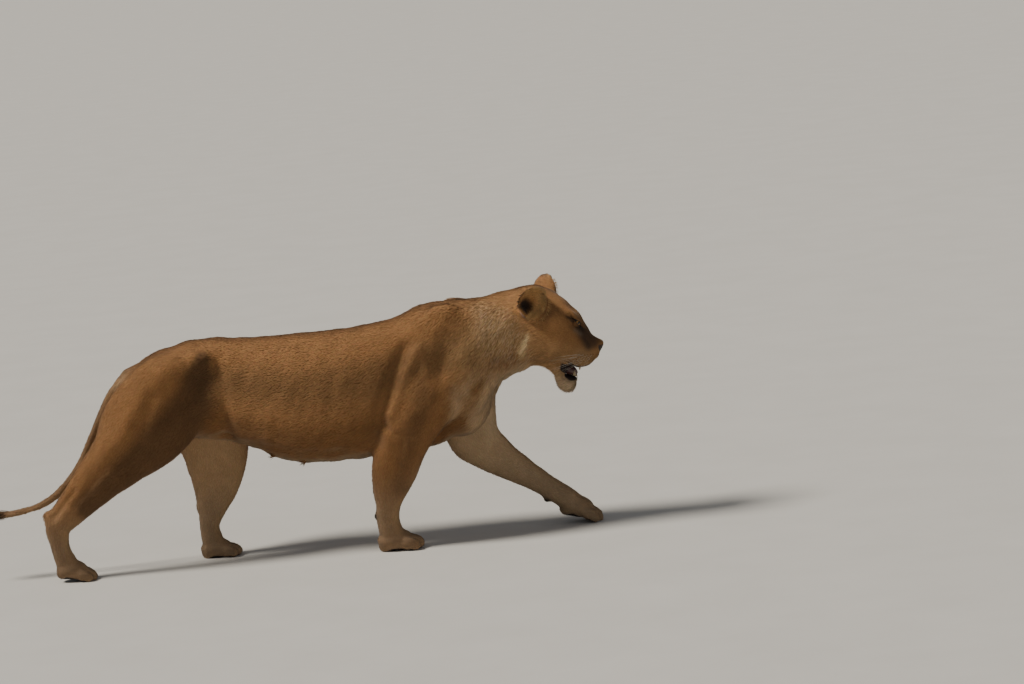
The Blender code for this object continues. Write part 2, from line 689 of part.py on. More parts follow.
def part_tail(rest, group, cutters):
    """Sink the tail's root in the rump and part the tail into lengths."""
    socket = make_tail(cutters, GAP)
    socket.name = "tail_socket"
    socket.hide_render = True
    socket.display_type = "WIRE"
    cut(rest, socket)
    tail = make_tail(group, 0.0)
    pieces = []
    for name, x, z, lean in TAIL_CUTS:
        pieces.append(part_off(tail, name, at(x, 0.0, z, pitch=lean), (0.0, -0.2, -0.3),
                               (0.8, 0.2, 0.3), group, cutters))
    tail.name = "tail_tuft"
    return pieces + [tail]


def make_tongue(head, jaw, group, cutters):
    """The tongue, lying in the open mouth and trimmed clear of both jaws."""
    bm = bmesh.new()
    place = head_frame() @ Matrix.Translation(TONGUE_CENTRE) @ Matrix.Rotation(TONGUE_LEAN, 4, "Y")
    bmesh.ops.create_icosphere(bm, subdivisions=2, radius=1.0,
                               matrix=place @ Matrix.Diagonal((*TONGUE_SIZE, 1.0)))
    tongue = object_from(bm, "tongue", group)
    for around in (head, jaw):
        cut(tongue, grown(around, cutters))
    return tongue


def finish(pieces):
    """Name, colour and place the pieces: the origin goes under the middle of the box."""
    low = Vector((1e9, 1e9, 1e9))
    high = -low
    for item in pieces:
        for vertex in item.data.vertices:
            low = Vector(map(min, low, vertex.co))
            high = Vector(map(max, high, vertex.co))
    shift = Vector((-(low.x + high.x) / 2, -(low.y + high.y) / 2, -low.z))
    looks = {name: material(name, colour, rough) for name, colour, rough in LOOKS}
    for item in pieces:
        item.data.transform(Matrix.Translation(shift))
        item.data.name = item.name
        item.vertex_groups.clear()
        item.data.materials.clear()
        item.data.materials.append(looks[LOOK_OF.get(item.name, "coat")])
        item.data.shade_smooth()
        item.data.set_sharp_from_angle(angle=SHARP_ANGLE)


def build():
    """Model the lioness and part her into named pieces."""
    clear_scene()
    group = collection("lioness")
    cutters = collection("cutters")
    rest = make_flesh(group)
    thin(rest, FLESH_FACES)
    cut(rest, region_box("floor", at(0.0, 0.0, 0.0), (-2.0, -1.0, -0.5), (2.0, 1.0, 0.0), cutters))
    pieces = part_tail(rest, group, cutters)
    pieces += part_head(rest, group, cutters)
    pieces += part_limbs(rest, group, cutters)
    pieces += part_trunk(rest, group, cutters)
    finish(pieces)


build()
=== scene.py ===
"""The looks of the lioness: one skin, her coat in tufts, eyes, mouth, and a plain studio."""
import functools
import json
import math

import bmesh
import bpy
import numpy as np
from mathutils import Matrix, Vector

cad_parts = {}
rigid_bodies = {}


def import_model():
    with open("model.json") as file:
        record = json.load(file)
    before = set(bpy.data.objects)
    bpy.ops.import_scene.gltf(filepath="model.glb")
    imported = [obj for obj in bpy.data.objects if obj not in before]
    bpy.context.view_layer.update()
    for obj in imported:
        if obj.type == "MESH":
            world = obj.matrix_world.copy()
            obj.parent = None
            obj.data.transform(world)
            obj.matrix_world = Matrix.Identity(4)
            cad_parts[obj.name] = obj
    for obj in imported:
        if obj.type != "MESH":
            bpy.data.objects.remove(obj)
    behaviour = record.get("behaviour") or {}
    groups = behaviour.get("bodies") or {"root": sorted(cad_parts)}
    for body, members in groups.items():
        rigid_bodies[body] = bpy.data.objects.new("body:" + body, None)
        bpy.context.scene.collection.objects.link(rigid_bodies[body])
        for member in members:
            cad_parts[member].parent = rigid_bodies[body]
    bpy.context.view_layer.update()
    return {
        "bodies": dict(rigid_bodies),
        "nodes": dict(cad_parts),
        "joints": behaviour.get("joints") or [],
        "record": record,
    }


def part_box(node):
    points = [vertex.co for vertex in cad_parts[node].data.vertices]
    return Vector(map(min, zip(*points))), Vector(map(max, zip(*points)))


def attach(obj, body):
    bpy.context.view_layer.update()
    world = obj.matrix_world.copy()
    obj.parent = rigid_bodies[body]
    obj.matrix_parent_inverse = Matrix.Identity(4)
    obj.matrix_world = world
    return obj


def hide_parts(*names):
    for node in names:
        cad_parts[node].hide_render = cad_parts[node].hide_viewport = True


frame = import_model()
rng = np.random.default_rng(41)

RIGHT = -1
LEFT = 1
SIDES = (RIGHT, LEFT)
LIMBS = ("foreleg_right", "foreleg_left", "hindleg_right", "hindleg_left")
EAR_NAMES = ("ear_right", "ear_left")

BACK_HEIGHT = 0.797        # the back above the floor, behind the ribs
RIB_HALF_WIDTH = 0.176     # widest half-width of the trunk
HEAD_PITCH = math.radians(22.0)
EYE_POINT = Vector((0.949, 0.0, 0.738))   # on the mid plane, between the eyes
EYE_RADIUS = 0.0185
EYE_CENTRE = (-0.008, 0.042, 0.002)       # in the head's frame, for the left eye

# Trunk and neck, tail root to nape: x, top, bottom, half-width, height of the widest point.
TRUNK = [
    (-0.680, 0.700, 0.610, 0.030, 0.655),
    (-0.655, 0.722, 0.570, 0.066, 0.650),
    (-0.600, 0.754, 0.520, 0.104, 0.645),
    (-0.520, 0.785, 0.480, 0.129, 0.640),
    (-0.430, 0.808, 0.450, 0.140, 0.630),
    (-0.330, 0.810, 0.432, 0.140, 0.615),
    (-0.230, 0.800, 0.395, 0.145, 0.590),
    (-0.130, BACK_HEIGHT, 0.343, 0.158, 0.560),
    (-0.020, BACK_HEIGHT, 0.324, 0.171, 0.550),
    (0.100, 0.798, 0.322, RIB_HALF_WIDTH, 0.550),
    (0.210, 0.806, 0.325, 0.171, 0.555),
    (0.310, 0.822, 0.332, 0.155, 0.570),
    (0.400, 0.858, 0.340, 0.139, 0.600),
    (0.480, 0.864, 0.368, 0.125, 0.630),
    (0.555, 0.860, 0.415, 0.132, 0.655),
    (0.610, 0.862, 0.486, 0.128, 0.685),
    (0.650, 0.867, 0.545, 0.121, 0.705),
    (0.710, 0.876, 0.575, 0.114, 0.725),
    (0.790, 0.872, 0.600, 0.100, 0.735),
]

# Skull and upper jaw in the head's frame: forward, top, bottom, half-width, widest height.
SKULL = [
    (-0.262, 0.040, -0.120, 0.085, -0.045),
    (-0.225, 0.070, -0.150, 0.098, -0.045),
    (-0.175, 0.086, -0.165, 0.104, -0.050),
    (-0.125, 0.085, -0.170, 0.108, -0.058),
    (-0.080, 0.072, -0.166, 0.105, -0.064),
    (-0.040, 0.054, -0.155, 0.093, -0.068),
    (-0.005, 0.038, -0.149, 0.076, -0.075),
    (0.025, 0.010, -0.152, 0.064, -0.084),
    (0.050, -0.016, -0.157, 0.058, -0.094),
    (0.076, -0.030, -0.139, 0.054, -0.094),
    (0.098, -0.036, -0.114, 0.043, -0.083),
    (0.112, -0.048, -0.092, 0.026, -0.072),
]

# Lower jaw, dropped open, in the head's frame with the same columns.
JAW = [
    (-0.150, -0.090, -0.192, 0.076, -0.140),
    (-0.100, -0.110, -0.190, 0.072, -0.148),
    (-0.060, -0.128, -0.187, 0.062, -0.158),
    (-0.028, -0.150, -0.200, 0.053, -0.176),
    (0.000, -0.182, -0.226, 0.046, -0.206),
    (0.030, -0.187, -0.247, 0.040, -0.218),
    (0.053, -0.184, -0.240, 0.031, -0.214),
    (0.064, -0.193, -0.224, 0.016, -0.208),
]

# Limb stations: x, y, z, half-depth in the leg's plane, half-width across it.
FORELEG_RIGHT = [
    (0.500, 0.090, 0.680, 0.060, 0.030),
    (0.430, 0.122, 0.560, 0.108, 0.054),
    (0.345, 0.134, 0.470, 0.108, 0.052),
    (0.290, 0.131, 0.375, 0.095, 0.049),
    (0.260, 0.122, 0.300, 0.086, 0.044),
    (0.236, 0.114, 0.225, 0.066, 0.038),
    (0.222, 0.104, 0.165, 0.046, 0.036),
    (0.216, 0.098, 0.115, 0.042, 0.038),
    (0.222, 0.095, 0.070, 0.042, 0.044),
    (0.230, 0.094, 0.040, 0.040, 0.044),
]
FORELEG_LEFT = [
    (0.540, 0.090, 0.680, 0.060, 0.030),
    (0.545, 0.122, 0.560, 0.100, 0.054),
    (0.530, 0.132, 0.440, 0.108, 0.052),
    (0.545, 0.131, 0.345, 0.098, 0.049),
    (0.612, 0.124, 0.272, 0.074, 0.044),
    (0.682, 0.118, 0.218, 0.058, 0.038),
    (0.752, 0.108, 0.168, 0.045, 0.036),
    (0.812, 0.102, 0.124, 0.041, 0.038),
    (0.860, 0.100, 0.088, 0.040, 0.044),
    (0.896, 0.100, 0.062, 0.032, 0.044),
]
HINDLEG_RIGHT = [
    (-0.470, 0.085, 0.690, 0.120, 0.050),
    (-0.510, 0.100, 0.610, 0.150, 0.062),
    (-0.590, 0.110, 0.520, 0.146, 0.066),
    (-0.690, 0.112, 0.440, 0.118, 0.058),
    (-0.770, 0.110, 0.372, 0.094, 0.048),
    (-0.840, 0.106, 0.308, 0.074, 0.040),
    (-0.900, 0.102, 0.252, 0.060, 0.034),
    (-0.948, 0.100, 0.200, 0.048, 0.032),
    (-0.950, 0.100, 0.130, 0.035, 0.031),
    (-0.936, 0.100, 0.075, 0.037, 0.037),
    (-0.924, 0.100, 0.045, 0.036, 0.038),
]
HINDLEG_LEFT = [
    (-0.450, 0.085, 0.690, 0.120, 0.050),
    (-0.425, 0.100, 0.600, 0.150, 0.062),
    (-0.395, 0.112, 0.500, 0.148, 0.066),
    (-0.385, 0.112, 0.400, 0.128, 0.058),
    (-0.388, 0.110, 0.310, 0.104, 0.048),
    (-0.400, 0.106, 0.240, 0.080, 0.040),
    (-0.418, 0.102, 0.180, 0.056, 0.034),
    (-0.434, 0.098, 0.120, 0.038, 0.031),
    (-0.430, 0.096, 0.070, 0.038, 0.037),
    (-0.424, 0.096, 0.040, 0.036, 0.038),
]

# Flesh of the tail, root to tip, with the core of the tuft: x, y, z, half-thickness.
TAIL_CORE = [
    (-0.600, 0.000, 0.720, 0.030),
    (-0.656, 0.000, 0.700, 0.030),
    (-0.706, 0.000, 0.648, 0.025),
    (-0.757, 0.000, 0.572, 0.020),
    (-0.804, 0.000, 0.490, 0.017),
    (-0.854, 0.000, 0.406, 0.016),
    (-0.917, 0.000, 0.328, 0.015),
    (-1.000, 0.000, 0.272, 0.014),
    (-1.090, 0.000, 0.248, 0.013),
    (-1.180, 0.000, 0.243, 0.013),
    (-1.255, 0.000, 0.244, 0.012),
    (-1.300, 0.000, 0.247, 0.007),
]

# Paws: ball of the foot, size, pitch.
PAWS = [
    ((0.238, -0.094, 0.030), 1.14, 0.0),
    ((0.892, 0.100, 0.050), 1.14, 0.34),
    ((-0.914, -0.100, 0.035), 1.02, 0.20),
    ((-0.414, 0.096, 0.026), 1.02, 0.0),
]
TOE_PITCH = 0.0245         # from one toe to the next

# Masses of the trunk in pairs: centre (y for the left side), radii, pitch.
# The left shoulder reaches ahead with its leg.
LEFT_REACH = 0.035
SHOULDER_MASSES = [
    ((0.455, 0.076, 0.690), (0.125, 0.054, 0.185), 0.36),    # shoulder blade
    ((0.405, 0.038, 0.793), (0.080, 0.030, 0.056), 0.20),    # its upper edge, at the withers
    ((0.520, 0.090, 0.585), (0.125, 0.056, 0.145), 0.30),    # point of the shoulder
    ((0.350, 0.106, 0.580), (0.090, 0.054, 0.180), 0.50),    # muscle behind the upper arm
]
HIP_MASSES = [
    ((-0.510, 0.084, 0.670), (0.160, 0.076, 0.112), -0.20),  # haunch
    ((-0.385, 0.074, 0.730), (0.085, 0.055, 0.052), 0.0),    # point of the hip
]
SINGLE_MASSES = [
    ((0.520, 0.0, 0.490), (0.105, 0.110, 0.130), 0.50),      # breast
    ((-0.690, -0.085, 0.560), (0.070, 0.060, 0.160), 0.42),  # back of the right thigh
    ((-0.560, 0.085, 0.600), (0.075, 0.060, 0.115), -0.16),  # back of the left thigh
    ((-0.972, -0.100, 0.226), (0.024, 0.021, 0.042), -0.35),  # right heel
    ((-0.454, 0.100, 0.186), (0.022, 0.021, 0.042), -0.05),  # left heel
    ((0.178, -0.098, 0.128), (0.015, 0.014, 0.018), 0.0),    # right wrist pad
    ((0.786, 0.102, 0.092), (0.018, 0.014, 0.014), 0.0),     # left wrist pad
]

# Masses of the head in its frame: centre, radii, pitch, yaw; pairs are given for the left.
FACE_PAIRS = [
    ((-0.092, 0.057, -0.078), (0.096, 0.045, 0.082), 0.25, 0.0),     # cheek
    ((-0.030, 0.052, -0.040), (0.056, 0.026, 0.020), 0.45, -0.30),   # cheekbone
    ((-0.030, 0.040, 0.023), (0.044, 0.026, 0.016), 0.42, -0.30),    # brow
    ((0.050, 0.034, -0.114), (0.050, 0.031, 0.037), -0.30, -0.12),   # whisker pad
    ((-0.012, 0.037, -0.166), (0.036, 0.010, 0.030), 0.45, 0.0),     # corner of the mouth
]
FACE_SINGLES = [
    ((0.031, 0.0, -0.217), (0.034, 0.038, 0.029), 0.10, 0.0),        # chin
    ((0.100, 0.0, -0.054), (0.018, 0.026, 0.020), 0.50, 0.0),        # nose
    ((-0.138, 0.0, 0.045), (0.078, 0.074, 0.041), 0.05, 0.0),        # crown
    ((0.034, 0.0, -0.018), (0.062, 0.027, 0.016), 0.70, 0.0),        # bridge of the nose
]

# The hollow that each eye sits in, for the left side: centre, radii, and the way it is pressed.
EYE_HOLLOW = (0.017, 0.074, -0.001)
EYE_HOLLOW_RADII = (0.044, 0.026, 0.021)
EYE_HOLLOW_PUSH = (-0.5, -1.0, 0.0)

# Ears in the head's frame, right and left: centre, way the bowl opens, way its tip points.
EARS = [
    ((-0.172, -0.120, 0.030), (0.40, -0.88, 0.08), (0.30, 0.10, 0.90)),
    ((-0.128, 0.090, 0.061), (0.76, 0.60, 0.10), (-0.12, 0.28, 0.95)),
]
EAR_WIDTH = 0.063          # half the bowl's width
EAR_LENGTH = 0.068         # from its middle to its tip
EAR_ROOT = 0.058           # from its middle to its root
EAR_DEPTH = 0.040
EAR_HOLLOW = 0.80          # the inside, as a share of the outside
EAR_FLOOR = 0.84           # its depth, as a share of the outside's
EAR_FULLNESS = 0.75        # below 1 the bowl bulges
EAR_STEPS = 5
EAR_SIDES = 15



def resample(rows, steps):
    """Rows read from the Catmull-Rom curve through the given rows."""
    rows = np.array(rows, dtype=float)
    ends = np.vstack([2 * rows[0] - rows[1], rows, 2 * rows[-1] - rows[-2]])
    found = []
    for start in range(1, len(ends) - 2):
        before, here, after, beyond = ends[start - 1:start + 3]
        for step in range(steps):
            t = step / steps
            found.append(0.5 * (2 * here + (after - before) * t
                                + (2 * before - 5 * here + 4 * after - beyond) * t * t
                                + (3 * here - before - 3 * after + beyond) * t ** 3))
    found.append(rows[-1])
    return found


def round_point(angle, power):
    """A point of the unit superellipse."""
    across = math.cos(angle)
    along = math.sin(angle)
    return (math.copysign(abs(across) ** (2 / power), across),
            math.copysign(abs(along) ** (2 / power), along))


def loft(bm, rings):
    """A closed body through rings of equal length, capped at both ends."""
    loops = [[bm.verts.new(point) for point in ring] for ring in rings]
    count = len(loops[0])
    for lower, upper in zip(loops, loops[1:]):
        for index in range(count):
            after = (index + 1) % count
            bm.faces.new((lower[index], lower[after], upper[after], upper[index]))
    bm.faces.new(list(reversed(loops[0])))
    bm.faces.new(loops[-1])


def upright_rings(rows, power, frame=Matrix.Identity(4), sides=28, steps=4):
    """Rings of a form described by forward, top, bottom, half-width and widest height."""
    rings = []
    for forward, top, bottom, half, widest in resample(rows, steps):
        ring = []
        for index in range(sides):
            across, along = round_point(2 * math.pi * index / sides, power)
            reach = (top - widest) if along > 0 else (widest - bottom)
            ring.append(frame @ Vector((forward, half * across, widest + reach * along)))
        rings.append(ring)
    return rings


def limb_rings(rows, side, power=2.3, sides=20, steps=4):
    """Rings square to a limb whose path lies close to an upright plane."""
    found = resample(rows, steps)
    rings = []
    for index, (x, y, z, depth, width) in enumerate(found):
        behind = found[max(index - 1, 0)]
        ahead = found[min(index + 1, len(found) - 1)]
        run = Vector((ahead[0] - behind[0], 0.0, ahead[2] - behind[2])).normalized()
        fore = Vector((-run.z, 0.0, run.x))
        ring = []
        for corner in range(sides):
            across, along = round_point(2 * math.pi * corner / sides, power)
            ring.append(Vector((x, side * y, z)) + fore * (depth * across)
                        + Vector((0.0, width * along, 0.0)))
        rings.append(ring)
    return rings


def ellipsoid(bm, centre, radii, pitch=0.0, yaw=0.0, frame=Matrix.Identity(4)):
    """A ball with three radii; pitch turns +X down, yaw turns it to the left."""
    turn = Matrix.Rotation(yaw, 4, "Z") @ Matrix.Rotation(pitch, 4, "Y")
    size = Matrix.Diagonal((*radii, 1.0))
    bmesh.ops.create_icosphere(bm, subdivisions=3, radius=1.0,
                               matrix=frame @ Matrix.Translation(centre) @ turn @ size)


def mirrored(point, side):
    """A point given for the left side, on either side."""
    return (point[0], side * point[1], point[2])


def head_frame():
    """From the head's frame (forward, left, up) to the world."""
    return Matrix.Translation(EYE_POINT) @ Matrix.Rotation(HEAD_PITCH, 4, "Y")


def add_head(bm):
    """Skull, cheeks, brows, muzzle and the open lower jaw."""
    frame = head_frame()
    loft(bm, upright_rings(SKULL, 2.35, frame))
    loft(bm, upright_rings(JAW, 2.3, frame, sides=20))
    for centre, radii, pitch, yaw in FACE_PAIRS:
        for side in SIDES:
            ellipsoid(bm, mirrored(centre, side), radii, pitch, side * yaw, frame)
    for centre, radii, pitch, yaw in FACE_SINGLES:
        ellipsoid(bm, centre, radii, pitch, yaw, frame)


def ear_form(bm, centre, outward, tip):
    """A cupped ear: a thick bowl that opens outward, longer toward its tip."""
    outward = Vector(outward).normalized()
    tip = (Vector(tip) - outward * outward.dot(Vector(tip))).normalized()
    turn = Matrix((tip.cross(outward), tip, outward)).transposed().to_4x4()
    place = head_frame() @ Matrix.Translation(centre) @ turn
    shells = []
    for radius, depth in ((1.0, EAR_DEPTH), (EAR_HOLLOW, EAR_DEPTH * EAR_FLOOR)):
        rings = []
        for step in range(1, EAR_STEPS + 1):
            swing = 0.5 * math.pi * step / EAR_STEPS
            reach = radius * math.sin(swing) ** EAR_FULLNESS
            ring = []
            for index in range(EAR_SIDES):
                angle = 2 * math.pi * index / EAR_SIDES
                length = EAR_LENGTH if math.sin(angle) > 0 else EAR_ROOT
                ring.append(place @ Vector((EAR_WIDTH * reach * math.cos(angle),
                                            length * reach * math.sin(angle),
                                            -depth * math.cos(swing))))
            rings.append(ring)
        shells.append(rings)
    outer, inner = shells
    loft(bm, outer + inner[::-1])


def paw_frame(ball, size, pitch):
    """From a paw's own frame to the world."""
    return Matrix.Translation(ball) @ Matrix.Rotation(pitch, 4, "Y") @ Matrix.Scale(size, 4)


def add_paw(bm, ball, size, pitch):
    """A paw: its pad and back, and four toes spread ahead of them."""
    place = paw_frame(ball, size, pitch)
    ellipsoid(bm, (-0.004, 0.0, 0.006), (0.056, 0.046, 0.036), 0.0, 0.0, place)
    ellipsoid(bm, (-0.028, 0.0, -0.012), (0.030, 0.034, 0.020), 0.0, 0.0, place)
    for index in range(4):
        across = (index - 1.5) * TOE_PITCH
        ahead = 0.052 - 0.006 * (abs(index - 1.5) - 0.5) * 2.2
        ellipsoid(bm, (ahead, across, -0.004), (0.035, 0.0145, 0.021), 0.20, across * 3.0, place)
        ellipsoid(bm, (ahead + 0.017, across * 1.07, -0.012), (0.019, 0.0130, 0.015), 0.0, 0.0, place)


def add_masses(bm):
    """The masses of shoulder, chest, hip and thigh."""
    for centre, radii, pitch in SHOULDER_MASSES:
        for side, ahead in ((RIGHT, 0.0), (LEFT, LEFT_REACH)):
            x, y, z = mirrored(centre, side)
            ellipsoid(bm, (x + ahead, y, z), radii, pitch)
    for centre, radii, pitch in HIP_MASSES:
        for side in SIDES:
            ellipsoid(bm, mirrored(centre, side), radii, pitch)
    for centre, radii, pitch in SINGLE_MASSES:
        ellipsoid(bm, centre, radii, pitch)


def add_body(bm):
    """Trunk and neck with their masses."""
    loft(bm, upright_rings(TRUNK, 2.15))
    add_masses(bm)


# ---------------------------------------------------------------- surfaces as arrays
def ramp(values, start, end):
    """0 at start, 1 at end, straight between."""
    return np.clip((values - start) / (end - start), 0.0, 1.0)


def soft(values, start, end):
    """0 at start, 1 at end, easing in and out."""
    share = ramp(values, start, end)
    return share * share * (3 - 2 * share)


def bell(values, middle, width):
    """1 in the middle, falling off to both sides."""
    return np.exp(-((values - middle) / width) ** 2)


def unit(vectors):
    """Vectors at length 1."""
    return vectors / np.maximum(np.linalg.norm(vectors, axis=-1, keepdims=True), 1e-12)


def dot(one, two):
    """Row by row scalar product."""
    return (one * two).sum(axis=-1)


def moved(matrix, places):
    """Places carried by a 4x4 matrix."""
    turn = np.array(matrix.to_3x3())
    return places @ turn.T + np.array(matrix.translation)


def in_head(places):
    """Places seen from the head's frame."""
    return moved(head_frame().inverted(), places)


def turned(matrix, direction):
    """A direction carried by a 4x4 matrix, at length 1."""
    return unit(np.array(matrix.to_3x3()) @ np.array(direction, dtype=float))


def to_path(places, path):
    """Distance of each place to a path of points, and how far along the path it is nearest."""
    path = np.array(path, dtype=float)
    best = np.full(len(places), 1e9)
    along = np.zeros(len(places))
    done = 0.0
    for start, end in zip(path, path[1:]):
        run = end - start
        size = np.linalg.norm(run)
        share = np.clip((places - start) @ run / (size * size), 0.0, 1.0)
        gap = np.linalg.norm(places - start - share[:, None] * run, axis=1)
        nearer = gap < best
        best[nearer] = gap[nearer]
        along[nearer] = done + share[nearer] * size
        done += size
    return best, along


def fused(bm, voxel):
    """The forms of a bmesh fused into one closed mesh."""
    bmesh.ops.recalc_face_normals(bm, faces=bm.faces)
    mesh = bpy.data.meshes.new("forms")
    bm.to_mesh(mesh)
    bm.free()
    item = bpy.data.objects.new("forms", mesh)
    bpy.context.scene.collection.objects.link(item)
    step = item.modifiers.new("fuse", "REMESH")
    step.mode = "VOXEL"
    step.voxel_size = voxel
    bpy.context.view_layer.update()
    shape = item.evaluated_get(bpy.context.evaluated_depsgraph_get())
    found = bpy.data.meshes.new_from_object(shape)
    bpy.data.objects.remove(item)
    return found


def places_of(mesh):
    """The places of a mesh's vertices."""
    places = np.zeros(len(mesh.vertices) * 3)
    mesh.vertices.foreach_get("co", places)
    return places.reshape(-1, 3)


def pairs_of(mesh):
    """The vertex numbers at the ends of a mesh's edges."""
    pairs = np.zeros(len(mesh.edges) * 2, dtype=np.int64)
    mesh.edges.foreach_get("vertices", pairs)
    return pairs.reshape(-1, 2)


def arrays_of(bm):
    """The places and triangles of a bmesh, which is freed."""
    places = np.array([corner.co for corner in bm.verts])
    faces = np.array([[corner.index for corner in face.verts] for face in bm.faces])
    bm.free()
    return places, faces


def edges_of(faces):
    """Each edge of the triangles once."""
    pairs = np.sort(np.concatenate([faces[:, [0, 1]], faces[:, [1, 2]], faces[:, [2, 0]]]), axis=1)
    key = pairs[:, 0] * (faces.max() + 1) + pairs[:, 1]
    return pairs[np.unique(key, return_index=True)[1]]


def ease(places, pairs, rounds, weight):
    """Smooth the places that have a weight, each towards the mean of its neighbours."""
    near = np.concatenate([pairs[:, 0], pairs[:, 1]])
    far = np.concatenate([pairs[:, 1], pairs[:, 0]])
    live = weight > 0
    part = live[near]
    near, far = near[part], far[part]
    count = np.maximum(np.bincount(near, minlength=len(places)), 1)[live]
    pull = (0.5 * weight[live])[:, None]
    for _ in range(rounds):
        found = np.stack([np.bincount(near, places[far, axis], len(places))[live]
                          for axis in range(places.shape[1])], axis=1)
        places[live] += pull * (found / count[:, None] - places[live])


class Surface:
    """A closed surface of triangles."""

    def __init__(self, places, faces):
        self.places = places
        self.faces = faces
        self.pairs = edges_of(faces)
        self.turn()

    def turn(self):
        """Work out the vertex normals and the size of each triangle."""
        a, b, c = (self.places[self.faces[:, corner]] for corner in range(3))
        flat = np.cross(b - a, c - a)
        self.areas = np.linalg.norm(flat, axis=1) / 2
        total = np.zeros_like(self.places)
        for axis in range(3):
            for corner in range(3):
                total[:, axis] += np.bincount(self.faces[:, corner], flat[:, axis], len(total))
        self.normals = unit(total)

    def ease(self, rounds, weight):
        """Smooth the surface where weight is above 0."""
        ease(self.places, self.pairs, rounds, weight)
        self.turn()

    def push(self, amount):
        """Move each vertex along its normal."""
        self.places = self.places + self.normals * amount[:, None]
        self.turn()

    def spread(self, values, rounds):
        """Even out values over the surface."""
        values = values.copy()
        ease(values, self.pairs, rounds, np.ones(len(values)))
        return values


def refined(places, faces, live):
    """Triangles with every side between two live vertices split at its middle."""
    sides = np.sort(np.stack([faces, np.roll(faces, -1, axis=1)], axis=2).reshape(-1, 2), axis=1)
    key = sides[:, 0] * len(places) + sides[:, 1]
    _, first, index = np.unique(key, return_index=True, return_inverse=True)
    pairs = sides[first]
    split = live[pairs].all(axis=1)
    number = np.full(len(pairs), -1)
    number[split] = len(places) + np.arange(split.sum())
    middles = places[pairs[split]].mean(axis=1)
    cuts = number[index].reshape(-1, 3)
    count = (cuts >= 0).sum(axis=1)
    found = [faces[count == 0]]
    a, b, c = faces[count == 3].T
    ab, bc, ca = cuts[count == 3].T
    for corners in ((a, ab, ca), (ab, b, bc), (ca, bc, c), (ab, bc, ca)):
        found.append(np.stack(corners, axis=1))
    for step in range(3):
        corners = np.roll(faces, -step, axis=1)
        middle = np.roll(cuts, -step, axis=1)
        pick = (count == 1) & (middle[:, 0] >= 0)
        a, b, c = corners[pick].T
        ab = middle[pick, 0]
        found.append(np.stack((a, ab, c), axis=1))
        found.append(np.stack((ab, b, c), axis=1))
        pick = (count == 2) & (middle[:, 2] < 0)
        a, b, c = corners[pick].T
        ab, bc = middle[pick, 0], middle[pick, 1]
        found.append(np.stack((ab, b, bc), axis=1))
        found.append(np.stack((a, ab, bc), axis=1))
        found.append(np.stack((a, bc, c), axis=1))
    return np.concatenate([places, middles]), np.concatenate(found)


# ---------------------------------------------------------------- the fused body
CAD_VOXEL = 0.0055         # the detail that the solids are smoothed at
BODY_VOXEL = 0.0075
HEAD_VOXEL = 0.0031
TRUNK_EASE = 60            # rounds of smoothing at the solids' detail: trunk, whole, face
WHOLE_EASE = 10
FACE_EASE = 5
TAIL_EASE = 0.25           # how strongly the tail is smoothed beside the rest
SEAM_POINT = Vector((0.700, 0.0, 0.725))   # the plane across the neck where fine meets coarse
SEAM_NORMAL = Vector((0.995, 0.0, 0.100)).normalized()
SEAM_FLOOR = 0.45                          # below this height there's only a leg
SEAM_BAND = 0.022                          # how far from it the joint is smoothed

LEGS = [
    (FORELEG_RIGHT, RIGHT),
    (FORELEG_LEFT, LEFT),
    (HINDLEG_RIGHT, RIGHT),
    (HINDLEG_LEFT, LEFT),
]


def press(places, centre, radii, push, frame):
    """Sink the places inside an ellipsoid to its far side, along push."""
    push = unit(np.array(push))
    radii = np.array(radii)
    local = moved(frame.inverted(), places) - centre
    share = local / radii
    reach = push / radii
    inside = 1.0 - dot(share, share)
    deep = inside > 0
    lean = share[deep] @ reach
    travel = (-lean + np.sqrt(lean * lean + reach @ reach * inside[deep])) / (reach @ reach)
    local[deep] += push * travel[:, None]
    places[deep] = moved(frame, local[deep] + centre)


def head_share(places):
    """How far each place belongs to the head, from 0 to 1."""
    local = in_head(places)
    return ramp(local[:, 0], -0.25, -0.17) * ramp(local[:, 2], -0.34, -0.28)


def smoothed(mesh, voxel):
    """The fused forms, pressed at the eyes and smoothed as the solids are."""
    places = places_of(mesh)
    pairs = pairs_of(mesh)
    for side in SIDES:
        press(places, mirrored(EYE_HOLLOW, side), EYE_HOLLOW_RADII,
              mirrored(EYE_HOLLOW_PUSH, side), head_frame())
    finer = (CAD_VOXEL / voxel) ** 2
    head = head_share(places)
    foot = ramp(places[:, 2], 0.13, 0.08)
    tail = ramp(places[:, 0], -0.69, -0.74) * (np.abs(places[:, 1]) < 0.045)
    firm = 1.0 - (1.0 - TAIL_EASE) * tail
    ease(places, pairs, round(TRUNK_EASE * finer), (1 - head) * ramp(places[:, 2], 0.22, 0.50) * (1 - tail))
    ease(places, pairs, round(WHOLE_EASE * finer), (1 - 0.72 * np.maximum(head, foot)) * firm)
    ease(places, pairs, round(FACE_EASE * finer), head)
    mesh.vertices.foreach_set("co", places.ravel())
    return mesh


def whole_body():
    """Body, limbs and tail, as coarse as they may be."""
    bm = bmesh.new()
    add_body(bm)
    add_head(bm)
    for rows, side in LEGS:
        loft(bm, limb_rings(rows, side))
    for ball, size, pitch in PAWS:
        add_paw(bm, ball, size, pitch)
    tail = [(x, y, z, half, half) for x, y, z, half in TAIL_CORE]
    loft(bm, limb_rings(tail, LEFT, power=2.0, sides=16))
    return smoothed(fused(bm, BODY_VOXEL), BODY_VOXEL)


def fine_head():
    """Head, ears and neck with the shoulders behind them, at the detail that a face needs."""
    bm = bmesh.new()
    loft(bm, upright_rings([row for row in TRUNK if row[0] >= 0.40], 2.15))
    add_masses(bm)
    add_head(bm)
    for centre, outward, tip in EARS:
        ear_form(bm, centre, outward, tip)
    return smoothed(fused(bm, HEAD_VOXEL), HEAD_VOXEL)


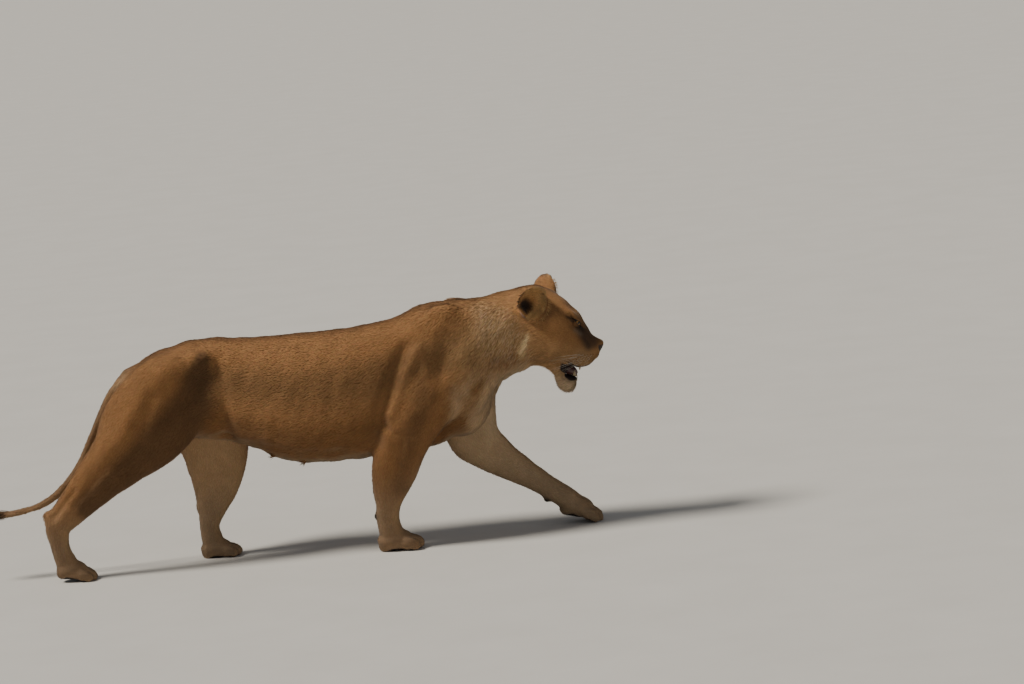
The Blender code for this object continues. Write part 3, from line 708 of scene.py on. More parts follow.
def half_of(mesh, keep_ahead):
    """The part of a mesh on one side of the seam plane, with its open rim in order."""
    bm = bmesh.new()
    bm.from_mesh(mesh)
    faces = [face for face in bm.faces if face.calc_center_median().z > SEAM_FLOOR]
    edges = dict.fromkeys(edge for face in faces for edge in face.edges)
    corners = dict.fromkeys(corner for face in faces for corner in face.verts)
    bmesh.ops.bisect_plane(bm, geom=[*edges, *corners, *faces], dist=1e-5,
                           plane_co=SEAM_POINT, plane_no=SEAM_NORMAL)
    gone = []
    for face in bm.faces:
        middle = face.calc_center_median()
        ahead = (middle - SEAM_POINT).dot(SEAM_NORMAL) > 0 and middle.z > SEAM_FLOOR
        if ahead != keep_ahead:
            gone.append(face)
    bmesh.ops.delete(bm, geom=gone, context="FACES")
    bmesh.ops.triangulate(bm, faces=bm.faces)
    bm.verts.index_update()
    bm.verts.ensure_lookup_table()
    follows = {}
    for edge in bm.edges:
        if len(edge.link_faces) == 1:
            loop = edge.link_loops[0]
            follows[loop.vert.index] = loop.link_loop_next.vert.index
    rim = [max(follows, key=lambda index: bm.verts[index].co.z)]
    while follows[rim[-1]] != rim[0]:
        rim.append(follows[rim[-1]])
    if len(rim) != len(follows):
        raise ValueError("the seam has more than one rim")
    return *arrays_of(bm), rim


def stitched(coarse, fine):
    """One surface from the coarse body and the fine head, with a strip between their rims."""
    body, body_faces, body_rim = half_of(coarse, False)
    head, head_faces, head_rim = half_of(fine, True)
    places = np.concatenate([body, head])
    one = body_rim + body_rim[:1]
    two = [index + len(body) for index in head_rim]
    two = [two[0]] + two[:0:-1] + [two[0]]
    strip = []
    i = j = 0
    while i < len(one) - 1 or j < len(two) - 1:
        body_left = i < len(one) - 1
        head_left = j < len(two) - 1
        nearer = (body_left and head_left
                  and np.linalg.norm(places[one[i + 1]] - places[two[j]])
                  < np.linalg.norm(places[one[i]] - places[two[j + 1]]))
        if body_left and (nearer or not head_left):
            strip.append((one[i + 1], one[i], two[j]))
            i += 1
        else:
            strip.append((two[j], two[j + 1], one[i]))
            j += 1
    return places, np.concatenate([body_faces, head_faces + len(body), np.array(strip)])


# ---------------------------------------------------------------- folds, lids and nostrils
# Lines seen from the side: side, points (x, z), half-width, height of the ridge or depth of the fold.
BODY_LINES = [
    # behind the shoulder
    (RIGHT, [(0.335, 0.725), (0.282, 0.620), (0.230, 0.500), (0.205, 0.395)], 0.022, -0.0120),
    (LEFT, [(0.370, 0.725), (0.317, 0.620), (0.265, 0.500), (0.258, 0.395)], 0.022, -0.0110),
    # edge of the triceps
    (RIGHT, [(0.380, 0.710), (0.325, 0.610), (0.268, 0.500)], 0.020, 0.0085),
    (LEFT, [(0.415, 0.710), (0.360, 0.610), (0.303, 0.500)], 0.020, 0.0080),
    # between neck and shoulder
    (RIGHT, [(0.480, 0.740), (0.468, 0.660), (0.445, 0.540), (0.425, 0.410)], 0.030, -0.0080),
    (LEFT, [(0.515, 0.740), (0.503, 0.660), (0.487, 0.540), (0.488, 0.410)], 0.030, -0.0075),
    # spine of the shoulder blade
    (RIGHT, [(0.385, 0.810), (0.400, 0.720), (0.412, 0.630)], 0.016, 0.0035),
    (LEFT, [(0.420, 0.810), (0.435, 0.720), (0.447, 0.630)], 0.016, 0.0035),
    # top of the shoulder blade, low against the neck
    (RIGHT, [(0.500, 0.868), (0.540, 0.866)], 0.032, -0.0050),
    (LEFT, [(0.525, 0.872), (0.575, 0.868)], 0.034, -0.0110),
    # upper arm, swelling towards the point of the shoulder
    (RIGHT, [(0.500, 0.610), (0.400, 0.520), (0.330, 0.470)], 0.030, 0.0060),
    (LEFT, [(0.540, 0.610), (0.500, 0.520), (0.520, 0.470)], 0.030, 0.0055),
    # flank to thigh, and the hollow behind the last rib
    (RIGHT, [(-0.340, 0.715), (-0.322, 0.640), (-0.314, 0.560), (-0.325, 0.470)], 0.038, -0.0180),
    (LEFT, [(-0.330, 0.735), (-0.300, 0.650), (-0.270, 0.560), (-0.262, 0.482)], 0.032, -0.0140),
    (RIGHT, [(-0.250, 0.700), (-0.235, 0.600)], 0.060, -0.0080),
    (LEFT, [(-0.230, 0.700), (-0.210, 0.600)], 0.060, -0.0080),
    # the thigh's forward slope, and the swelling behind it
    (RIGHT, [(-0.400, 0.670), (-0.455, 0.600), (-0.550, 0.500), (-0.650, 0.390)], 0.048, -0.0125),
    (LEFT, [(-0.350, 0.680), (-0.370, 0.580), (-0.380, 0.460)], 0.040, -0.0080),
    (RIGHT, [(-0.520, 0.710), (-0.620, 0.590), (-0.740, 0.450)], 0.045, 0.0070),
    (LEFT, [(-0.500, 0.690), (-0.490, 0.560), (-0.470, 0.420)], 0.045, 0.0060),
    # front of the thigh, and the point of the hip
    (RIGHT, [(-0.350, 0.690), (-0.375, 0.600), (-0.430, 0.500)], 0.055, -0.0080),
    (LEFT, [(-0.370, 0.620), (-0.345, 0.520), (-0.335, 0.430)], 0.028, 0.0050),
    (RIGHT, [(-0.400, 0.765), (-0.368, 0.750)], 0.026, 0.0080),
    (LEFT, [(-0.380, 0.765), (-0.348, 0.750)], 0.026, 0.0080),
    # groin, and between the thigh's muscles
    (RIGHT, [(-0.248, 0.415), (-0.334, 0.445), (-0.504, 0.390)], 0.016, -0.0065),
    (RIGHT, [(-0.560, 0.640), (-0.610, 0.520), (-0.700, 0.410)], 0.026, -0.0090),
    (LEFT, [(-0.470, 0.620), (-0.450, 0.500), (-0.440, 0.400)], 0.024, -0.0060),
    # elbow, forearm and shank
    (RIGHT, [(0.230, 0.470), (0.270, 0.430), (0.330, 0.420)], 0.014, -0.0060),
    (RIGHT, [(0.300, 0.400), (0.268, 0.300), (0.240, 0.200)], 0.013, -0.0040),
    (LEFT, [(0.560, 0.370), (0.640, 0.275), (0.740, 0.190)], 0.013, -0.0040),
    (RIGHT, [(-0.700, 0.460), (-0.800, 0.355), (-0.880, 0.275)], 0.015, -0.0050),
    (LEFT, [(-0.380, 0.400), (-0.392, 0.300), (-0.410, 0.210)], 0.014, -0.0045),
    # ahead of the heel tendon
    (RIGHT, [(-0.870, 0.330), (-0.922, 0.275), (-0.958, 0.240)], 0.012, -0.0075),
    (LEFT, [(-0.428, 0.300), (-0.444, 0.240), (-0.452, 0.212)], 0.011, -0.0065),
    # muscle along the neck, and the groove under it
    (RIGHT, [(0.740, 0.790), (0.630, 0.735), (0.540, 0.670)], 0.034, 0.0050),
    (LEFT, [(0.740, 0.790), (0.640, 0.735), (0.570, 0.670)], 0.034, 0.0050),
    (RIGHT, [(0.730, 0.680), (0.640, 0.630), (0.560, 0.560)], 0.022, -0.0065),
    (LEFT, [(0.730, 0.680), (0.650, 0.630), (0.590, 0.560)], 0.022, -0.0065),
    # folds of loose skin behind the elbow and along the belly
    (RIGHT, [(0.190, 0.520), (0.165, 0.460), (0.150, 0.405)], 0.010, -0.0030),
    (RIGHT, [(0.160, 0.500), (0.135, 0.450), (0.122, 0.405)], 0.010, -0.0022),
    (RIGHT, [(0.080, 0.372), (-0.080, 0.380), (-0.210, 0.415)], 0.020, -0.0040),
    (LEFT, [(0.080, 0.372), (-0.080, 0.380), (-0.210, 0.415)], 0.020, -0.0040),
]
UNEVEN = 0.0011            # how far the skin rises and falls over the body
TEATS = [(-0.165, 0.052, 0.360), (-0.060, 0.056, 0.330)]   # on the belly, left side
TEAT_RISE = 0.012
TEAT_RADIUS = 0.0065
RIB_FIRST = 0.170          # where the foremost rib shows, and how they follow
RIB_STEP = -0.046
RIB_COUNT = 8
RIB_LEAN = 0.075           # how far a rib's lower end lies behind its upper end
RIB_HEIGHTS = (0.430, 0.690)
RIB_WIDTH = 0.012
RIB_RISE = 0.0010

LID_GAZE = (0.60, 0.78, 0.10)      # the way the left eye looks, in the head's frame
LID_AXIS = (0.80, -0.20, -0.42)    # from the outer to the inner corner
LID_HALF = 0.94                    # the opening's half-length and half-heights over the ball's radius
LID_UPPER = 0.23
LID_LOWER = 0.30
LID_THICK = 0.0023
LID_COVER = 0.0016                 # the least skin over the ball
LID_SINK = 0.0040                  # how far the skin is pressed back in the opening
LID_RIM = (0.0012, 1.12, 0.14)     # the rim's rise, its measure and width; and the fold's round it
LID_FOLD = (-0.0014, 1.50, 0.16)
LID_REACH = 0.050                  # nothing farther from the eye's centre is moved

# In the head's frame, on the left side.
NOSTRIL_SLIT = [(0.108, 0.013, -0.064), (0.104, 0.021, -0.061), (0.098, 0.024, -0.066)]
NOSTRIL_DEPTH = 0.0060
NOSTRIL_WIDTH = 0.0032
LIP_GROOVE = [(0.116, 0.0, -0.070), (0.112, 0.0, -0.084), (0.098, 0.0, -0.118)]
LIP_GROOVE_DEPTH = 0.0028
LIP_GROOVE_WIDTH = 0.0030
FACE_HOLLOWS = [                           # centre, depth, width
    ((0.046, 0.040, -0.056), 0.0045, 0.018),       # beside the bridge of the nose
    ((0.006, 0.056, -0.112), 0.0030, 0.014),       # behind the whisker pad
]
LIP_RISE = 0.0016
LIP_WIDTH = 0.0040
TOE_CREASE_DEPTH = 0.0030
TOE_CREASE_WIDTH = 0.0028
MOUTH_RIM_UPPER = [(-0.018, 0.052, -0.152), (-0.004, 0.050, -0.150), (0.024, 0.047, -0.149),
                   (0.055, 0.043, -0.141), (0.082, 0.030, -0.128), (0.096, 0.010, -0.120),
                   (0.098, 0.0, -0.119)]
MOUTH_RIM_LOWER = [(-0.018, 0.052, -0.158), (-0.008, 0.047, -0.176), (0.018, 0.041, -0.188),
                   (0.045, 0.033, -0.188), (0.060, 0.014, -0.190), (0.064, 0.0, -0.192)]


def seen_from_side(places):
    """X and Z of each place."""
    return places[:, [0, 2]]


def on_side(surface, side):
    """1 on the outer surface of one side, fading towards the mid plane and where it faces up or down."""
    outward = surface.normals[:, 1] * side
    return ramp(outward, 0.10, 0.55) * ramp(surface.places[:, 1] * side, 0.015, 0.050)


def carve_body(surface):
    """Folds and ridges over the muscles, and ribs under the skin."""
    view = seen_from_side(surface.places)
    rise = np.zeros(len(view))
    for side, path, width, height in BODY_LINES:
        gap, _ = to_path(view, path)
        rise += height * bell(gap, 0.0, width) * on_side(surface, side)
    low, high = RIB_HEIGHTS
    middle = soft(view[:, 1], low - 0.06, low + 0.05) * soft(view[:, 1], high + 0.03, high - 0.08)
    for number in range(RIB_COUNT):
        top = RIB_FIRST + RIB_STEP * number
        lean = RIB_LEAN * (high - view[:, 1]) / (high - low)
        gap = view[:, 0] - (top - lean)
        rib = RIB_RISE * bell(gap, 0.0, RIB_WIDTH) * middle
        rise += rib * (on_side(surface, RIGHT) + on_side(surface, LEFT))
    rise += UNEVEN * uneven(surface.places) * soft(surface.places[:, 2], 0.12, 0.30)
    surface.push(rise)


def uneven(places):
    """Rises and falls of a hand's breadth, between about -1 and 1."""
    made = np.zeros(len(places))
    for number in range(10):
        way = unit(rng.normal(0.0, 1.0, 3))
        length = rng.uniform(0.035, 0.110)
        made += np.sin(places @ way * (2 * math.pi / length) + rng.uniform(0.0, 2 * math.pi))
    return made / 3.2


def shape_teats(surface):
    """Two pairs of small teats."""
    rise = np.zeros(len(surface.places))
    for side in SIDES:
        for x, y, z in TEATS:
            gap = np.hypot(surface.places[:, 0] - x, surface.places[:, 1] - y * side)
            low = (surface.places[:, 2] < z + 0.02) & (surface.normals[:, 2] < 0)
            rise += TEAT_RISE * bell(gap, 0.0, TEAT_RADIUS) * low
    surface.push(rise)


def lid_frame(side):
    """Centre, gaze, way to the inner corner and way up of an eye."""
    frame = head_frame()
    centre = np.array(frame @ Vector(mirrored(EYE_CENTRE, side)))
    gaze = turned(frame, mirrored(LID_GAZE, side))
    inner = turned(frame, mirrored(LID_AXIS, side))
    inner = unit(inner - gaze * (inner @ gaze))
    up = np.cross(gaze, inner)
    up = up if up[2] > 0 else -up
    return centre, gaze, inner, up


def lid_measure(places, side):
    """Below 1 in the eye's opening, 1 at the lid's edge; and the distance to the eye's centre."""
    centre, gaze, inner, up = lid_frame(side)
    away = places - centre
    reach = np.linalg.norm(away, axis=1)
    way = away / np.maximum(reach, 1e-9)[:, None]
    along = (way @ inner) / LID_HALF
    across = way @ up
    height = np.where(across > 0, LID_UPPER, LID_LOWER)
    measure = along ** 2 + np.abs(across) / height
    measure[(way @ gaze) < 0.05] = 9.0
    return measure, reach


def shape_lids(surface):
    """Press the skin back in each eye's opening and lay the lids round the ball."""
    for side in SIDES:
        centre = lid_frame(side)[0]
        measure, reach = lid_measure(surface.places, side)
        near = reach < LID_REACH
        open_reach = EYE_RADIUS - LID_SINK
        lid_reach = EYE_RADIUS + LID_THICK
        wanted = open_reach + (lid_reach - open_reach) * soft(measure, 0.86, 1.04)
        for rise, middle, width in (LID_RIM, LID_FOLD):
            wanted += rise * bell(measure, middle, width)
        hold = soft(measure, 2.1, 1.15)
        cover = open_reach + (EYE_RADIUS + LID_COVER - open_reach) * soft(measure, 0.90, 1.05)
        settled = np.maximum(reach + hold * (wanted - reach), cover)
        away = (surface.places[near] - centre) / reach[near][:, None]
        surface.places[near] = centre + away * settled[near][:, None]
    surface.turn()


def shape_nose(surface):
    """Nostrils, and the groove down to the lip."""
    local = in_head(surface.places)
    rise = np.zeros(len(local))
    for side in SIDES:
        gap, _ = to_path(local, [mirrored(point, side) for point in NOSTRIL_SLIT])
        rise -= NOSTRIL_DEPTH * bell(gap, 0.0, NOSTRIL_WIDTH)
        rise += 0.0012 * bell(gap, 0.0065, 0.0025)
    rise -= LIP_GROOVE_DEPTH * line(local, LIP_GROOVE, LIP_GROOVE_WIDTH)
    for side in SIDES:
        for centre, depth, width in FACE_HOLLOWS:
            gap = np.linalg.norm(local - mirrored(centre, side), axis=1)
            rise -= depth * bell(gap, 0.0, width)
    surface.push(rise)


def shape_mouth(surface):
    """Lips that stand a little proud of the jaws' edges."""
    local = in_head(surface.places)
    rise = np.zeros(len(local))
    for rim in (MOUTH_RIM_UPPER, MOUTH_RIM_LOWER):
        for side in SIDES:
            rise += LIP_RISE * line(local, [mirrored(point, side) for point in rim], LIP_WIDTH)
    surface.push(rise)


def shape_toes(surface):
    """Deeper creases between the toes."""
    rise = np.zeros(len(surface.places))
    for ball, size, pitch in PAWS:
        place = paw_frame(ball, size, pitch)
        local = moved(place.inverted(), surface.places)
        for across in (-TOE_PITCH, 0.0, TOE_PITCH):
            gap = np.hypot(local[:, 1] - across, 0.25 * (local[:, 2] - 0.004))
            ahead = soft(local[:, 0], 0.016, 0.040) * (np.abs(local[:, 2]) < 0.04) * (local[:, 0] < 0.12)
            rise -= TOE_CREASE_DEPTH * bell(gap, 0.0, TOE_CREASE_WIDTH) * ahead
    surface.push(rise * ramp(surface.places[:, 2], 0.002, 0.010))


# ---------------------------------------------------------------- the skin
# Each region's coat: tufts on a square metre, their length, width and lift (radians), how much
# their tone varies, and how far the skin lies inside the outline.
FORE_COAT = (120e3, 0.012, 0.0024, 0.22, 0.07, 0.0030)
HIND_COAT = (100e3, 0.012, 0.0024, 0.22, 0.07, 0.0030)
EAR_COAT = (420e3, 0.006, 0.0012, 0.28, 0.15, 0.0010)
COATS = {
    "trunk": (66e3, 0.016, 0.0030, 0.16, 0.07, 0.0050),
    "neck": (130e3, 0.030, 0.0026, 0.26, 0.22, 0.0070),
    "head": (400e3, 0.0075, 0.0013, 0.15, 0.12, 0.0020),
    "tail": (200e3, 0.012, 0.0020, 0.26, 0.12, 0.0030),
    **dict(zip(LIMBS, (FORE_COAT, FORE_COAT, HIND_COAT, HIND_COAT))),
    **dict.fromkeys(EAR_NAMES, EAR_COAT),
}
TUFTS_PER_M2, TUFT_LENGTH, TUFT_WIDTH, TUFT_LIFT, TONE_SPREAD, COAT_DEPTH = (
    dict(zip(COATS, column)) for column in zip(*COATS.values()))
PAW_DEPTH = 0.0010
EAR_HALF = 0.030           # half-thickness of the lines that the hair follows: ear, paw, toes
PAW_HALF = 0.045
TOE_HALF = 0.030


def bones():
    """Each region's line down its middle in the way its hair runs, with its half-thickness."""
    frame = head_frame()
    spine = [((x, 0.0, 0.5 * (top + bottom)), 0.5 * (top - bottom)) for x, top, bottom, half, widest in TRUNK]
    found = {
        "trunk": [row for row in reversed(spine) if row[0][0] < 0.56],
        "neck": [row for row in reversed(spine) if row[0][0] > 0.53],
        "head": [(tuple(frame @ Vector((x, 0.0, 0.5 * (top + bottom)))), 0.5 * (top - bottom))
                 for x, top, bottom, half, widest in reversed(SKULL)],
        "tail": [((x, y, z), half) for x, y, z, half in TAIL_CORE[1:]],
    }
    for name, (rows, side) in zip(LIMBS, LEGS):
        found[name] = [((x, side * y, z), max(depth, width)) for x, y, z, depth, width in rows[1:]]
    for name, (ball, size, pitch) in zip(LIMBS, PAWS):
        ahead = (ball[0] + 0.075 * size, ball[1], max(0.018, ball[2] - 0.075 * size * math.sin(pitch)))
        found[name].append((ball, PAW_HALF))
        found[name].append((ahead, TOE_HALF))
    for name, (centre, outward, tip) in zip(EAR_NAMES, EARS):
        tip = turned(frame, tip)
        middle = np.array(frame @ Vector(centre))
        ends = (middle - tip * EAR_ROOT * 0.5, middle + tip * EAR_LENGTH)
        found[name] = [(tuple(end), EAR_HALF) for end in ends]
    return found


class Lie:
    """Where each place is on the body: its region, the way the hair runs, and how far along and round."""

    def __init__(self, surface):
        places = surface.places
        total = np.zeros(len(places))
        way = np.zeros_like(places)
        best = np.full(len(places), 1e9)
        self.names = list(bones())
        self.region = np.zeros(len(places), dtype=int)
        self.along = np.zeros(len(places))
        self.round = np.zeros(len(places))
        self.thick = np.zeros(len(places))
        self.share = {}
        for number, (name, rows) in enumerate(bones().items()):
            own = np.zeros(len(places))
            done = 0.0
            for (start, start_size), (end, end_size) in zip(rows, rows[1:]):
                start, end = np.array(start), np.array(end)
                run = end - start
                length = np.linalg.norm(run)
                part = np.clip((places - start) @ run / length ** 2, 0.0, 1.0)
                away = places - start - part[:, None] * run
                size = start_size + (end_size - start_size) * part
                gap = np.linalg.norm(away, axis=1) / size
                weight = np.maximum(gap, 0.2) ** -8.0
                total += weight
                own += weight
                way += weight[:, None] * (run / length)
                nearer = gap < best
                best[nearer] = gap[nearer]
                self.region[nearer] = number
                self.along[nearer] = done + part[nearer] * length
                self.thick[nearer] = size[nearer]
                side_way = unit(np.cross(run, (0.0, 0.0, 1.0)) if abs(run[2]) < 0.7 * length
                                else np.cross(run, (1.0, 0.0, 0.0)))
                up_way = np.cross(run / length, side_way)
                self.round[nearer] = np.arctan2(away[nearer] @ side_way, away[nearer] @ up_way)
                done += length
            self.share[name] = own
        for name in self.names:
            self.share[name] = self.share[name] / total
        way = way / total[:, None]
        drop = 0.85 * self.share["neck"] * ramp(np.abs(surface.normals[:, 1]), 0.30, 0.75)
        drop += 0.35 * self.share["trunk"] * ramp(np.abs(surface.normals[:, 1]), 0.30, 0.75)
        way[:, 2] -= drop
        way -= surface.normals * dot(way, surface.normals)[:, None]
        way = surface.spread(unit(way), 12)
        way -= surface.normals * dot(way, surface.normals)[:, None]
        self.way = unit(way)

    def blend(self, amounts):
        """A number per region, blended between the regions."""
        return sum(self.share[name] * amounts[name] for name in self.names)


# ---------------------------------------------------------------- markings
TAWNY = (0.310, 0.152, 0.058)
RUST = (0.170, 0.078, 0.028)
UPPER = (0.290, 0.140, 0.052)
# Flank and lower side: their own greyer and warmer tones, darkened further as painted shade.
FLANK = (0.200, 0.103, 0.041)
LOWER = (0.205, 0.097, 0.034)
SAND = (0.440, 0.275, 0.135)
PALE = (0.480, 0.355, 0.220)
CREAM = (0.580, 0.460, 0.320)
GREY = (0.290, 0.205, 0.130)
DUSK = (0.150, 0.082, 0.040)
EAR_BACK = (0.330, 0.130, 0.042)
BLACK = (0.012, 0.010, 0.009)
LEATHER = (0.020, 0.017, 0.015)
NOSE_TOP = (0.120, 0.055, 0.030)
TUFT = (0.030, 0.020, 0.014)
NECK = (0.490, 0.315, 0.155)
BREAST = (0.540, 0.370, 0.215)
THIGH_DARK = (0.090, 0.047, 0.021)
ARM_DARK = (0.100, 0.053, 0.024)
# The mouth's inside: black lip skin at the corners, and painted shadow over the rest.
MOUTH = (0.018, 0.011, 0.010)
FACE = (0.330, 0.165, 0.064)
CROWN_STRIPE = (0.150, 0.072, 0.030)
NOSE_BRIDGE = (0.230, 0.112, 0.044)
# Painted shade beside the nose and over its bridge.
NOSE_SIDE_PAINTED_SHADE = (0.046, 0.028, 0.019)
BRIDGE_PAINTED_SHADE = (0.070, 0.040, 0.024)
PAD_PALE = (0.430, 0.280, 0.150)
TEAR = (0.030, 0.018, 0.012)
EYE_LINE = (0.030, 0.018, 0.013)
# Painted shade under the brow.
BROW_SHADE = (0.120, 0.066, 0.032)
LOCK = (0.760, 0.560, 0.310)
WHISKER_DOT = (0.045, 0.028, 0.018)
EAR_BAND = (0.050, 0.028, 0.018)
EAR_INSIDE = (0.420, 0.210, 0.078)
EAR_SHADOW = (0.016, 0.010, 0.008)
# Golden hair of the ear's flap and front, painted brighter as sunlit.
EAR_FLAP_GOLD_AND_LIT = (0.640, 0.370, 0.150)
EAR_FRONT_GOLD_AND_LIT = (0.700, 0.420, 0.180)
EAR_RIM = (0.430, 0.260, 0.115)
EAR_REAR = (0.060, 0.035, 0.022)
EAR_HAIR = (0.560, 0.350, 0.150)

# The bare nose: heights, half-widths there, and how far back it reaches at the sides.
NOSE_HEIGHTS = (-0.098, -0.090, -0.082, -0.072, -0.062, -0.053, -0.046)
NOSE_HALVES = (-0.002, 0.006, 0.018, 0.032, 0.036, 0.032, -0.002)
NOSE_BACKS = (0.104, 0.099, 0.093, 0.086, 0.081, 0.081, 0.084)
NOSE_EDGE = 0.0016         # how softly its edge fades
LIP_MARK = 0.0048          # half-width of the dark line on a lip
HEAD_LIMIT = 0.3           # least share of the head where nose and mouth may show
WRIST_PADS = SINGLE_MASSES[5:7]
WRIST_PAD_RADIUS = 0.016

STRAND_PITCH = 0.013       # from one pale strand of the neck to the next
# Deep shade on thigh and upper arm seen from the right side, and how far ahead it lies on the left.
THIGH_SHADE = [(-0.372, 0.745), (-0.420, 0.600), (-0.560, 0.440), (-0.820, 0.270)]
THIGH_SHADE_AT = (0.0, 0.15, 0.35, 0.67)           # how far along it, and its half-width there
THIGH_SHADE_WIDE = (0.030, 0.085, 0.105, 0.060)
THIGH_AHEAD = 0.20
ARM_SHADE = [(0.395, 0.560), (0.330, 0.400), (0.275, 0.230)]
ARM_AHEAD = 0.24
ARM_WIDE = 0.048
ARM_PATHS = [(RIGHT, ARM_SHADE), (LEFT, [(x + ARM_AHEAD, z) for x, z in ARM_SHADE])]

# Marks on each side of the face in the head's frame, in the order that they're laid: colour, how
# strongly, path for the left side, width.
FACE_MARKS = [
    (PAD_PALE, 0.70, [(0.052, 0.045, -0.112)], 0.030),
    (PALE, 0.45, [(0.070, 0.030, -0.138)], 0.016),
    (CREAM, 0.22, [(0.020, 0.050, -0.034), (-0.004, 0.060, -0.026)], 0.009),
    (CREAM, 0.30, [(0.006, 0.034, 0.026), (-0.018, 0.044, 0.030)], 0.008),
    (TEAR, 0.80, [(0.014, 0.042, -0.010), (0.036, 0.030, -0.030), (0.052, 0.030, -0.054)], 0.0060),
    (BLACK, 0.95, [(0.010, 0.042, -0.006), (0.026, 0.032, -0.018)], 0.0045),
    (EYE_LINE, 0.95, [(-0.016, 0.060, 0.004), (-0.040, 0.066, 0.012)], 0.0070),
    # Painted shade under the brow, just above the eye.
    (BROW_SHADE, 0.55, [(-0.030, 0.060, 0.014), (0.010, 0.040, 0.010)], 0.0080),
]
LOCK_PATH = [(-0.150, -0.080), (-0.158, -0.132)]   # behind the cheek, seen from the side
LOCK_WIDTH = 0.011
# Paths and width of the painted shade beside the nose and over its bridge, seen from the side.
NOSE_SIDE_SHADE_PATH = [(0.012, -0.016), (0.044, -0.048), (0.062, -0.066)]
BRIDGE_SHADE_PATH = [(0.034, -0.020), (0.080, -0.052)]
UNDER_EAR_SHADE = (-0.107, 0.010)
NOSE_SHADE_WIDTH = 0.018
DOT_RADIUS = 0.0022
WHISKER_ROWS = 4
WHISKERS_IN_ROW = 6


def whisker_places():
    """Row, number in the row and place of each whisker of the left side, in the head's frame."""
    for row in range(WHISKER_ROWS):
        for number in range(WHISKERS_IN_ROW):
            yield row, number, (0.086 - 0.0095 * number - 0.002 * row,
                                0.031 + 0.0028 * number - 0.0016 * row,
                                -0.090 - 0.0085 * row - 0.0030 * number)


class Marks:
    """Colours laid one over the other on the surface."""

    def __init__(self, count, colour):
        self.colours = np.tile(np.array(colour), (count, 1))

    def lay(self, colour, cover):
        """Cover part of the surface, from 0 to 1, with a colour."""
        cover = np.clip(cover, 0.0, 1.0)[:, None]
        self.colours += (np.array(colour) - self.colours) * cover


def spot(places, centre, radius):
    """1 at a point, falling off around it."""
    return np.exp(-dot(places - np.array(centre), places - np.array(centre)) / radius ** 2)


def line(places, path, width):
    """1 on a path, falling off to both sides."""
    return bell(to_path(places, path)[0], 0.0, width)


def both(path):
    """A path of the head's left side, and the same on the right."""
    return ([mirrored(point, LEFT) for point in path], [mirrored(point, RIGHT) for point in path])


